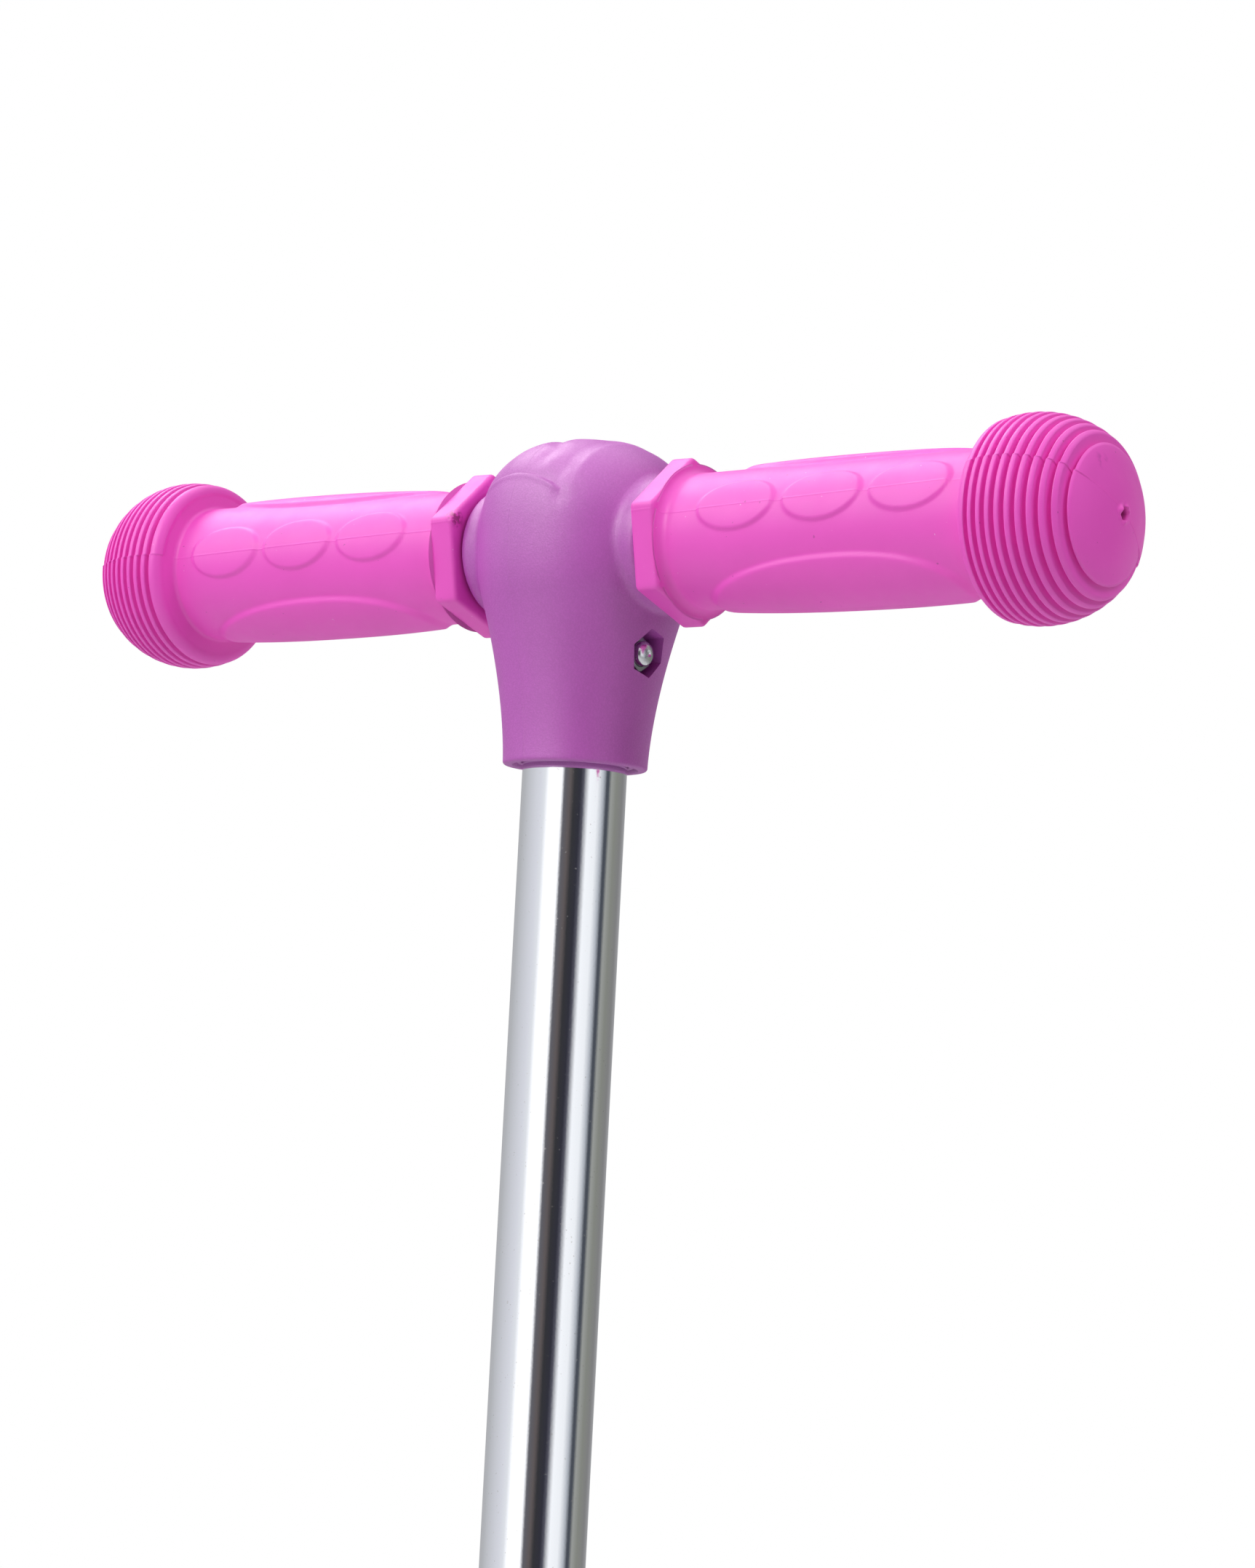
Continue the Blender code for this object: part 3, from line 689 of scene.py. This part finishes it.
def skirt_radius(z):
    """The hub's radius below the crossbar's axis."""
    skirt = RIM_R + (SHOULDER_R - RIM_R) * np.clip((z - HUB_RIM) / (SHOULDER - HUB_RIM), 0,
                                                   None) ** SKIRT_POWER
    slope = (SHOULDER_R - RIM_R) * SKIRT_POWER / (SHOULDER - HUB_RIM)
    t = np.clip((z - SHOULDER) / -SHOULDER, 0, 1)
    run = -SHOULDER
    upper = ((2 * t ** 3 - 3 * t ** 2 + 1) * SHOULDER_R + (t ** 3 - 2 * t ** 2 + t) * run * slope
             + (3 * t ** 2 - 2 * t ** 3) * BULB_R)
    return np.where(z < SHOULDER, skirt, upper)


def hub_field(x, y, z):
    """Negative inside the hub: a bulb blended into a collar along the crossbar."""
    ring = np.hypot(x, y)
    dome = ((ring / BULB_R) ** BULB_POWER
            + (np.clip(z, 0, None) / HUB_TOP) ** BULB_POWER) ** (1 / BULB_POWER) - 1
    bulb = np.where(z > 0, dome * HUB_TOP, ring - skirt_radius(z))
    collar_end = FLANGE_IN - GAP
    over = np.abs(x) - (collar_end - COLLAR_EDGE)
    out = np.hypot(y, z) - (COLLAR_R - COLLAR_EDGE)
    collar = (np.minimum(np.maximum(over, out), 0)
              + np.hypot(np.clip(over, 0, None), np.clip(out, 0, None)) - COLLAR_EDGE)
    mix = np.clip(0.5 + 0.5 * (collar - bulb) / COLLAR_BLEND, 0, 1)
    return collar * (1 - mix) + bulb * mix - COLLAR_BLEND * mix * (1 - mix)


def crown_relief(x, y, z):
    """How far the crown stands off the smooth bulb, negative in its dents.

    It steps down above the front bulge, along an arc that fades at both ends, and beside the
    right lobe, whose edge climbs to the top. A shallow groove parts the ground between them, and
    a low bead runs along the arc. The back is the same, turned half round.
    """
    front = y < 0
    x = np.where(front, x, -x)
    y = np.where(front, y, -y)
    bow = x - ARC_X
    arc_z = ARC_Z - np.where(bow < 0, ARC_FALL_LEFT, ARC_FALL_RIGHT) * bow ** 2
    above = z - arc_z
    lobe_x = LOBE_X + 0.12 * np.clip(z - 11.0, 0, 11.0) + 0.3 * np.clip(z - 22.5, 0, None)
    beside = lobe_x - x
    up = smooth((above + 0.3) / 1.1)
    aside = smooth((beside + 1.5) / 5.0)
    top = smooth((-y - 0.3) / 2.8)
    crown = top * (0.3 + 0.7 * smooth((25.9 - z) / 3.0))
    far = np.exp(-np.clip(above, 0, None) / 6.0) * ARC_STEP * top
    near = np.exp(-np.clip(beside, 0, None) / 4.5) * LOBE_STEP * smooth((z - 11.0) / 6.0)
    left_end = smooth((x + 19.0) / 7.0)
    right_end = smooth((12.0 - x) / 6.0)
    step = up * aside * (far * left_end * right_end + near * crown)
    groove_x = 1.0 + 0.22 * (z - 16.0) - 1.8 * np.clip(z - 23.0, 0, None)
    groove = np.exp(-((x - groove_x) / 2.3) ** 2) * smooth((z - 16.0) / 5.0)
    groove = groove * GROOVE_STEP * top
    notch = np.exp(-((x - 9.5) / 1.7) ** 2 - ((z - 9.3) / 2.6) ** 2) * NOTCH_STEP
    bead = np.exp(-((above + 0.6) / 0.8) ** 2) * left_end * smooth((10.0 - x) / 2.5)
    return bead * BEAD_RISE - step - groove - notch


def hub_surface(around, rows):
    """Points of the hub's outer skin, found by searching outwards from the stick's axis."""
    azimuth = full_turn(around)
    rings = []
    for height, tilt in rows:
        out = math.cos(tilt)
        up = math.sin(tilt)
        near = np.zeros(around)
        far = np.full(around, FARTHEST)
        for _ in range(HALVINGS):
            middle = (near + far) / 2
            inside = hub_field(middle * out * np.cos(azimuth), middle * out * np.sin(azimuth),
                               np.full(around, height) + middle * up) < 0
            near = np.where(inside, middle, near)
            far = np.where(inside, far, middle)
        x = near * out * np.cos(azimuth)
        y = near * out * np.sin(azimuth)
        z = height + near * up
        dent = crown_relief(x, y, z) if tilt > 0 else np.zeros(around)
        near = near + dent
        rings.append(circle(near * out, BAR_Z + height + near * up, azimuth))
    return rings


def make_hub():
    """The hub: its socket, the rounded rim, the outer skin and the holes cut through it."""
    around = 420
    rim = 0.7
    rows = [(z, 0.0) for z in np.linspace(HUB_RIM + rim, -20, 60)]
    rows += [(z, 0.0) for z in np.linspace(-20, 0, 42)[1:]]
    rows += [(0.0, math.radians(a)) for a in np.linspace(0, 89.5, 170)[1:]]
    bottom = BAR_Z + HUB_RIM
    profile = [(SOCKET_R, TUBE_HIGH[2] + 1.0), (SOCKET_R, bottom + 1.2),
               (SOCKET_R + 0.5, bottom + 0.25), (SOCKET_R + 0.8, bottom)]
    for turn in np.radians(np.linspace(0, 75, 5)):
        profile.append((RIM_R - rim * (1 - math.sin(turn)), bottom + rim * (1 - math.cos(turn))))
    rings = [circle(radius, z, full_turn(around)) for radius, z in profile]
    rings += hub_surface(around, rows)
    points, faces = skin(rings)
    hub = mesh_piece("hub_shell", points, faces, PURPLE, "frame")
    cut_away(hub, hub_cutters())
    hub.data.set_sharp_from_angle(angle=math.radians(35))
    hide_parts("handle_hub")


def hub_cutters():
    """The crossbar's bore, the cross bolt's bore, the nut's pocket and the head's pocket."""
    right = Matrix.Rotation(math.radians(90), 4, "Y")
    bar = Matrix.Translation((0, 0, BAR_Z)) @ right
    bolt = Matrix.Translation((0, 0, BOLT_Z)) @ right
    bolt_hole_r = 2.8
    pocket_corner = 5.9
    head_pocket_r = 5.1
    outside = 32
    shapes = [(prism(64, BAR_HIGH[2] - BAR_Z + GAP, -40, 40), bar),
              (prism(32, bolt_hole_r, -outside, outside), bolt),
              (prism(6, pocket_corner, POCKET_FLOOR, outside, 15.0), bolt),
              (prism(48, head_pocket_r, -outside, -POCKET_FLOOR), bolt)]
    return [mesh_object("cutter", placed(points, matrix), faces)
            for (points, faces), matrix in shapes]


def make_hub_fasteners():
    """The nut deep in its pocket with the bolt's rounded end standing through it."""
    low, high = node_box("hub_nut")
    matrix = lying_along((1, 0, 0), (0, 0, BOLT_Z))
    points, faces = hex_nut_mesh(high[1] * 0.97, low[0], high[0] - 1.4, BOLT_END_R + 0.1)
    nut = mesh_piece("hub_nut_fine", placed(points, matrix), faces, SPRING_STEEL, "frame",
                     sharp=25)
    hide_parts("hub_nut")
    head_at = POCKET_FLOOR + WASHER_ROOM
    matrix = lying_along((-1, 0, 0), (-head_at, 0, BOLT_Z))
    points, faces = bolt_mesh(BOLT_END_R, BOLT_HIGH[0] + head_at, head_r=4.4, head_h=2.6)
    bolt = mesh_piece("hub_bolt_fine", placed(points, matrix), faces, ZINC, "frame",
                      sharp=30)
    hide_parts("hub_bolt")


def hex_nut_mesh(corner_r, low, high, bore):
    """A chamfered hexagon nut along Z with an open bore."""
    angles = full_turn(72)
    flat = corner_r * math.cos(math.pi / 6) / np.cos(from_flat(angles))
    chamfer = corner_r * 0.93
    drop = 0.5
    profile = [(bore, high), (bore + 0.5, high), (np.minimum(flat, chamfer) - 0.1, high),
               (np.minimum(flat, chamfer + 0.25), high - drop * 0.3), (flat, high - drop),
               (flat, low + drop), (np.minimum(flat, chamfer), low), (bore, low)]
    return skin([circle(radius, z, angles) for radius, z in profile], loop=True)


def bolt_mesh(radius, length, head_r, head_h):
    """A button-head bolt with a hexagon socket and a rounded, dimpled end; Z leaves the head."""
    angles = full_turn(48)
    key = radius * 0.62 / np.cos(from_flat(angles))
    profile = [(key, head_h * 0.35), (key, head_h - 0.15), (key + 0.2, head_h)]
    for turn in np.radians(np.linspace(62, 6, 8)):
        profile.append((head_r * math.cos(turn) ** 0.8, head_h * math.sin(turn) / 0.9))
    profile += [(head_r, 0.3), (head_r - 0.25, 0), (radius, 0)]
    for turn in np.radians(np.linspace(8, 72, 7)):
        profile.append((radius * math.cos(turn), -length + 1.5 * (1 - math.sin(turn))))
    profile += [(radius * 0.2, -length + 0.35), (radius * 0.1, -length + 0.5)]
    return skin([circle(r, z, angles) for r, z in profile])


# ---------------------------------------------------------------- stick

def make_turned(name, replaced, corners, material, around, body="frame", rounding=0.3):
    """A ring turned about Z from the corners of its outline, standing for a CAD node."""
    angles = full_turn(around)
    rings = [circle(radius, z, angles) for radius, z in round_profile(corners, rounding)]
    points, faces = skin(rings, loop=True)
    obj = mesh_piece(name, points, faces, material, body, sharp=40)
    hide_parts(replaced)


def make_tube():
    wall = 1.4
    low, high = TUBE_LOW[2], TUBE_HIGH[2]
    corners = [(TUBE_R, high), (TUBE_R, low), (TUBE_R - wall, low), (TUBE_R - wall, high)]
    make_turned("tube_fine", "outer_tube", corners, BRIGHT, 160)


def make_sleeve():
    low, high = node_box("hub_sleeve")
    inner = TUBE_R + GAP
    corners = [(high[0], high[2]), (high[0], low[2]), (inner, low[2]), (inner, high[2])]
    make_turned("sleeve_fine", "hub_sleeve", corners, PURPLE, 128)


def softened(node, material, width, body="frame", segments=3):
    """A fine copy of a CAD node with its edges rounded, standing for that node."""
    source = frame["nodes"][node]
    bm = bmesh.new()
    bm.from_mesh(source.data)
    bm.transform(source.matrix_world)
    bmesh.ops.remove_doubles(bm, verts=bm.verts, dist=1e-5)
    bmesh.ops.dissolve_limit(bm, angle_limit=math.radians(1.0), verts=bm.verts, edges=bm.edges)
    mesh = bpy.data.meshes.new(node + "_fine")
    bm.to_mesh(mesh)
    bm.free()
    rough = linked(node + "_rough", mesh)
    bevel = rough.modifiers.new("edges", "BEVEL")
    bevel.width = width * MM
    bevel.segments = segments
    bevel.limit_method = "ANGLE"
    bevel.angle_limit = math.radians(38)
    bevel.miter_outer = "MITER_ARC"
    ready = rough.evaluated_get(bpy.context.evaluated_depsgraph_get())
    mesh = bpy.data.meshes.new_from_object(ready)
    bpy.data.objects.remove(rough)
    obj = linked(node + "_fine", mesh)
    mesh.materials.clear()
    mesh.materials.append(material)
    mesh.shade_smooth()
    mesh.set_sharp_from_angle(angle=math.radians(32))
    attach(obj, body)
    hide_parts(node)


def make_tread(name):
    """A soft tread with rounded corners and seven ribs across it, built from slices along X."""
    low, high = node_box(name)
    half_width = high[1]
    ribs = 7
    rib_height = 1.6
    corner = 6.0
    edge = 0.8
    base = high[2] - rib_height
    length = high[0] - low[0]
    across = np.linspace(-1, 1, 41)
    rings = []
    for share in (1 - np.cos(np.linspace(0.02, math.pi - 0.02, 181))) / 2:
        x = low[0] + length * share
        from_end = min(x - low[0], high[0] - x)
        cut = max(corner - from_end, 0.0)
        width = half_width - corner + math.sqrt(max(corner ** 2 - cut ** 2, 0.0))
        phase = (x - low[0]) / length * ribs * 2 * math.pi
        rib = rib_height * smooth(0.5 - 0.9 * math.cos(phase))
        crest = smooth((1 - np.abs(across)) * width / 2.0 - 0.6)
        lift = math.sqrt(max(1 - max(1 - from_end / edge, 0.0) ** 2, 0.0))
        top = low[2] + (base - low[2]) * (0.3 + 0.7 * lift) + rib * crest
        inner = across * (width - edge)
        top_side = np.stack([np.full_like(across, x), inner, top], 1)
        turns = np.radians([20, 45, 70, 90])
        shoulder = [(x, width - edge + edge * math.sin(t), top[-1] - edge * (1 - math.cos(t)))
                    for t in turns]
        other = [(x, -y, z) for x, y, z in shoulder[::-1]]
        under = [(x, width, low[2]), (x, 0.0, low[2]), (x, -width, low[2])]
        rings.append(np.concatenate([top_side, shoulder, under, other]))
    points, faces = skin(rings)
    tread = mesh_piece(name + "_fine", points, faces, PINK, "frame", sharp=50)
    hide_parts(name)


def make_lower_bodies():
    """The footrests, their treads and the bracket, with the rounded edges of real parts."""
    for side in ("left", "right"):
        softened("footrest_" + side, PURPLE, 1.6)
        make_tread("tread_pad_" + side)
        for part in ("footrest_bolt_", "clamp_bolt_"):
            softened(part + side, ZINC, 0.25)
        for part in ("footrest_nut_", "clamp_nut_", "clamp_washer_"):
            softened(part + side, ZINC, 0.2)
    for end in ("front", "rear"):
        softened("bracket_" + end, BRACKET, 0.45)
    for end in ("front", "back"):
        softened("bushing_screw_" + end, ZINC, 0.2)
    softened("collar_pin", STEEL, 0.3, "plunger")
    softened("tip_clip", STEEL, 0.2, "plunger", 2)
    softened("lower_bushing", NYLON, 0.5)
    softened("spring_collar", ZINC, 0.5, "plunger")


def make_shaft():
    low, high = node_box("plunger_shaft")
    wall = 2.0
    corners = [(high[0], high[2]), (high[0], low[2]), (high[0] - wall, low[2]),
               (high[0] - wall, high[2])]
    make_turned("shaft_fine", "plunger_shaft", corners, BRIGHT, 128, "plunger", 0.5)


def make_rubber_tip():
    """A rubber foot: a neck under the clip, a flared barrel with grips and a grooved sole."""
    _, high = node_box("rubber_tip")
    foot = high[0]
    bore = 9.3
    sole = 2.2
    corners = [(bore, high[2]), (bore, 14.6), (1.0, 14.6), (1.0, sole), (3.2, sole), (3.2, 0.0),
               (7.0, 0.0), (7.0, sole), (9.5, sole), (9.5, 0.0), (13.0, 0.0), (13.0, sole),
               (15.5, sole), (15.5, 0.0), (foot - 1.0, 0.0), (foot, 3.5), (foot, 8.0)]
    for step in range(4):
        z = 9.5 + 3.6 * step
        inset = 0.9 * step
        corners += [(foot - 1.9 - inset, z), (foot - 1.9 - inset, z + 1.0),
                    (foot - 0.5 - inset, z + 1.8), (foot - 0.9 - inset, z + 3.0)]
    corners += [(16.6, 25.5), (15.4, 33.0), (15.2, 36.6), (13.9, 37.0), (13.9, 40.0),
                (15.4, 40.4), (15.0, high[2])]
    make_turned("tip_fine", "rubber_tip", corners[::-1], RUBBER, 144, "plunger",
                0.35)


def make_spring():
    """The coil spring, with a tight ground turn at each end."""
    low, high = node_box("spring")
    wire = 2.0
    mean = high[0] - wire
    turns = 10.0
    per_turn = 48
    count = int(turns * per_turn) + 1
    turn = np.linspace(0, turns, count)
    tight = 2 * wire + 0.15
    inner = (high[2] - low[2] - 2 * wire - 2 * tight) / (turns - 2)
    slope = np.interp(turn, [0, 0.7, 1.3, turns - 1.3, turns - 0.7, turns],
                      [tight, tight, inner, inner, tight, tight])
    rise = np.concatenate([[0], np.cumsum((slope[1:] + slope[:-1]) / 2 / per_turn)])
    z = low[2] + wire + rise * (high[2] - low[2] - 2 * wire) / rise[-1]
    angle = turn * 2 * math.pi
    ring = full_turn(20)
    out = mean + wire * np.cos(ring)
    rings = []
    for here, height in zip(angle, z):
        points = np.stack([out * math.cos(here), out * math.sin(here),
                           height + wire * np.sin(ring)], 1)
        points[:, 2] = np.clip(points[:, 2], low[2] + 0.5, high[2] - 0.5)
        rings.append(points)
    points, faces = skin(rings)
    spring = mesh_piece("spring_fine", points, faces, SPRING_STEEL, "frame",
                        sharp=35)
    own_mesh(spring)
    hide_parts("spring")


# ---------------------------------------------------------------- studio

CAMERA_AZIMUTH = 38.943     # degrees from the front towards the right grip
CAMERA_DISTANCE = 1050.9
CAMERA_DROP = -160.05       # height against the crossbar
CAMERA_YAW = 0.694
CAMERA_PITCH = 5.663
CAMERA_ROLL = 2.991
CAMERA_LENS = 101.6


def make_camera():
    azimuth, yaw, pitch, roll = (math.radians(a) for a in (CAMERA_AZIMUTH, CAMERA_YAW,
                                                          CAMERA_PITCH, CAMERA_ROLL))
    up = Vector((0, 0, 1))
    ahead = -Vector((math.sin(azimuth), -math.cos(azimuth), 0))
    side = ahead.cross(up)
    level = math.cos(yaw) * ahead + math.sin(yaw) * side
    side = math.cos(yaw) * side - math.sin(yaw) * ahead
    forward = math.cos(pitch) * level + math.sin(pitch) * up
    top = math.cos(pitch) * up - math.sin(pitch) * level
    right = math.cos(roll) * side + math.sin(roll) * top
    top = math.cos(roll) * top - math.sin(roll) * side
    data = bpy.data.cameras.new("camera")
    data.lens = CAMERA_LENS
    data.clip_end = 60.0
    camera = linked("camera", data)
    place = Vector((math.sin(azimuth), -math.cos(azimuth), 0)) * CAMERA_DISTANCE
    place += Vector((0, 0, BAR_Z + CAMERA_DROP))
    turn = Matrix((right, top, -forward)).transposed().to_4x4()
    camera.matrix_world = Matrix.Translation(place * MM) @ turn
    bpy.context.scene.camera = camera


ROOM_STRENGTH = 0.95
ZENITH = 2.4                # brightness overhead, against the panels
HIGH_FRONT = 2.0            # and of the high panel over the camera
AMBIENT = 0.23              # even light on matt surfaces
# The room round the stick, as degrees to the right of the camera and brightness there: dim
# walls behind, a soft box on each side of the camera and dark gaps between and beyond them.
PANELS = [(-180, (0.45, 0.45, 0.47)), (-140, (0.50, 0.51, 0.53)), (-80, (0.76, 0.77, 0.83)),
          (-68, (0.84, 0.86, 0.90)), (-56, (1.3, 1.3, 1.32)), (-29, (1.3, 1.3, 1.32)),
          (-22, (0.13, 0.13, 0.15)), (-9, (0.13, 0.11, 0.11)), (0, (0.04, 0.04, 0.045)),
          (14, (0.035, 0.035, 0.05)), (21, (0.10, 0.10, 0.13)), (34, (1.05, 1.07, 1.10)),
          (54, (0.98, 1.0, 1.03)), (68, (0.50, 0.53, 0.58)), (77, (0.07, 0.08, 0.10)),
          (83, (0.08, 0.09, 0.11)), (91, (0.36, 0.37, 0.35)), (108, (0.26, 0.27, 0.24)),
          (135, (0.24, 0.24, 0.24)), (180, (0.45, 0.45, 0.47))]


def make_world():
    """A white studio: bright to the eye, with soft panels and dark gaps in reflections."""
    world = bpy.data.worlds.new("studio")
    bpy.context.scene.world = world
    world.use_nodes = True
    tree = world.node_tree
    tree.nodes.clear()
    nodes = Nodes(tree)
    place = nodes.add("ShaderNodeTexCoord").outputs["Generated"]
    turned = nodes.add("ShaderNodeVectorRotate", {"rotation_type": "Z_AXIS"}, Vector=place,
                       Angle=math.radians(90 - CAMERA_AZIMUTH - CAMERA_YAW)).outputs[0]
    parts = nodes.add("ShaderNodeSeparateXYZ", Vector=turned)
    angle = nodes.math("ARCTAN2", parts.outputs["Y"], parts.outputs["X"])
    share = nodes.math("MULTIPLY_ADD", angle, 1 / (2 * math.pi), 0.5)
    room = nodes.ramp(share, [(0.5 + degrees / 360, level) for degrees, level in PANELS])
    rise = nodes.ramp(parts.outputs["Z"], [(0.30, 0.0), (0.55, 0.8)])
    near_front = nodes.ramp(nodes.math("ABSOLUTE", angle), [(0.61, 1.0), (0.72, 0.0)])
    high = nodes.mix(near_front, (0.45, 0.45, 0.46, 1), (HIGH_FRONT, HIGH_FRONT, HIGH_FRONT, 1))
    lit = nodes.mix(rise, room, high)
    zenith = nodes.ramp(parts.outputs["Z"], [(0.70, 0.0), (0.88, 1.0)])
    lit = nodes.mix(zenith, lit, (ZENITH, ZENITH, ZENITH, 1))
    down = nodes.math("MULTIPLY", parts.outputs["Z"], -1.0)
    under = nodes.ramp(down, [(0.24, 0.0), (0.50, 1.0)])
    lit = nodes.mix(under, lit, (0.05, 0.05, 0.05, 1))
    seen = nodes.add("ShaderNodeBackground", Color=(1, 1, 1, 1), Strength=1.0)
    mirrored = nodes.add("ShaderNodeBackground", Color=lit, Strength=ROOM_STRENGTH)
    soft = nodes.add("ShaderNodeBackground", Color=(1, 1, 1, 1), Strength=AMBIENT)
    path = nodes.add("ShaderNodeLightPath")
    cast = nodes.add("ShaderNodeMixShader")
    nodes.set(cast, "0", path.outputs["Is Glossy Ray"])
    nodes.set(cast, "1", soft.outputs[0])
    nodes.set(cast, "2", mirrored.outputs[0])
    both = nodes.add("ShaderNodeMixShader")
    nodes.set(both, "0", path.outputs["Is Camera Ray"])
    nodes.set(both, "1", cast.outputs[0])
    nodes.set(both, "2", seen.outputs[0])
    out = nodes.add("ShaderNodeOutputWorld")
    nodes.set(out, "Surface", both.outputs[0])


FLOOR_R = 3.2               # metres


def make_floor():
    """A pale floor disc that fades into the white background."""
    mesh = bpy.data.meshes.new("floor")
    bm = bmesh.new()
    bmesh.ops.create_circle(bm, cap_ends=True, segments=96, radius=FLOOR_R)
    bm.to_mesh(mesh)
    bm.free()
    floor = linked("floor", mesh)
    floor.location.z = -0.0004
    material = bpy.data.materials.new("floor")
    material.use_nodes = True
    tree = material.node_tree
    tree.nodes.clear()
    nodes = Nodes(tree)
    place = nodes.add("ShaderNodeTexCoord").outputs["Object"]
    far = nodes.add("ShaderNodeVectorMath", {"operation": "LENGTH"})
    nodes.set(far, "0", place)
    reach = nodes.math("DIVIDE", far.outputs["Value"], FLOOR_R)
    fade = nodes.ramp(reach, [(0.10, 0.0), (0.85, 1.0)])
    matte = nodes.add("ShaderNodeBsdfDiffuse", Color=(0.86, 0.86, 0.87, 1))
    glow = nodes.add("ShaderNodeEmission", Color=(1, 1, 1, 1), Strength=1.0)
    path = nodes.add("ShaderNodeLightPath")
    both = nodes.add("ShaderNodeMixShader")
    nodes.set(both, "0", nodes.math("MULTIPLY", fade, path.outputs["Is Camera Ray"]))
    nodes.set(both, "1", matte.outputs[0])
    nodes.set(both, "2", glow.outputs[0])
    out = nodes.add("ShaderNodeOutputMaterial")
    nodes.set(out, "Surface", both.outputs[0])
    mesh.materials.append(material)


LIGHT_DISTANCE = 1.8        # metres from the handle
LIGHT_SIZE = 1.1
# Each row: name, height in degrees, degrees to the right of the camera, watts, seen in reflections
LIGHTS = [("key_left", 33, -48, 14.5, True), ("key_right", 35, 45, 10.0, False),
          ("low_left", -35, -60, 8.5, False), ("from_floor", -80, 0, 3.5, False),
          ("side_left", 30, -95, 7.0, True),
          ("back_left", 50, -140, 12.0, True), ("back_right", 0, 135, 8.0, False)]


def make_lights():
    target = Vector((0, 0, BAR_Z * MM))
    for name, height, turn, power, glossy in LIGHTS:
        azimuth = math.radians(CAMERA_AZIMUTH + turn)
        up = math.radians(height)
        out = Vector((math.sin(azimuth) * math.cos(up), -math.cos(azimuth) * math.cos(up),
                      math.sin(up)))
        data = bpy.data.lights.new(name, "AREA")
        data.shape = "DISK"
        data.size = LIGHT_SIZE
        data.energy = power
        light = linked(name, data)
        light.location = target + out * LIGHT_DISTANCE
        light.rotation_euler = (-out).to_track_quat("-Z", "Y").to_euler()
        light.visible_glossy = glossy
        light.visible_camera = False


make_camera()
make_world()
make_floor()
make_lights()
scene = bpy.context.scene
scene.view_settings.view_transform = "Standard"
scene.cycles.use_denoising = True

make_grip("grip_right", 1)
make_grip("grip_left", -1)
make_hub()
make_hub_fasteners()
make_tube()
make_sleeve()
make_lower_bodies()
make_shaft()
make_rubber_tip()
make_spring()

CAD_LOOKS = {"pink_pvc": PINK, "purple_plastic": PURPLE, "bright_tube": BRIGHT, "steel": STEEL,
             "spring_steel": SPRING_STEEL, "zinc": ZINC, "black_nylon": NYLON,
             "black_rubber": RUBBER}
for part in frame["record"]["subparts"]:
    obj = frame["nodes"][part["node"]]
    obj.data.materials.clear()
    obj.data.materials.append(CAD_LOOKS[part["material_slot"]])
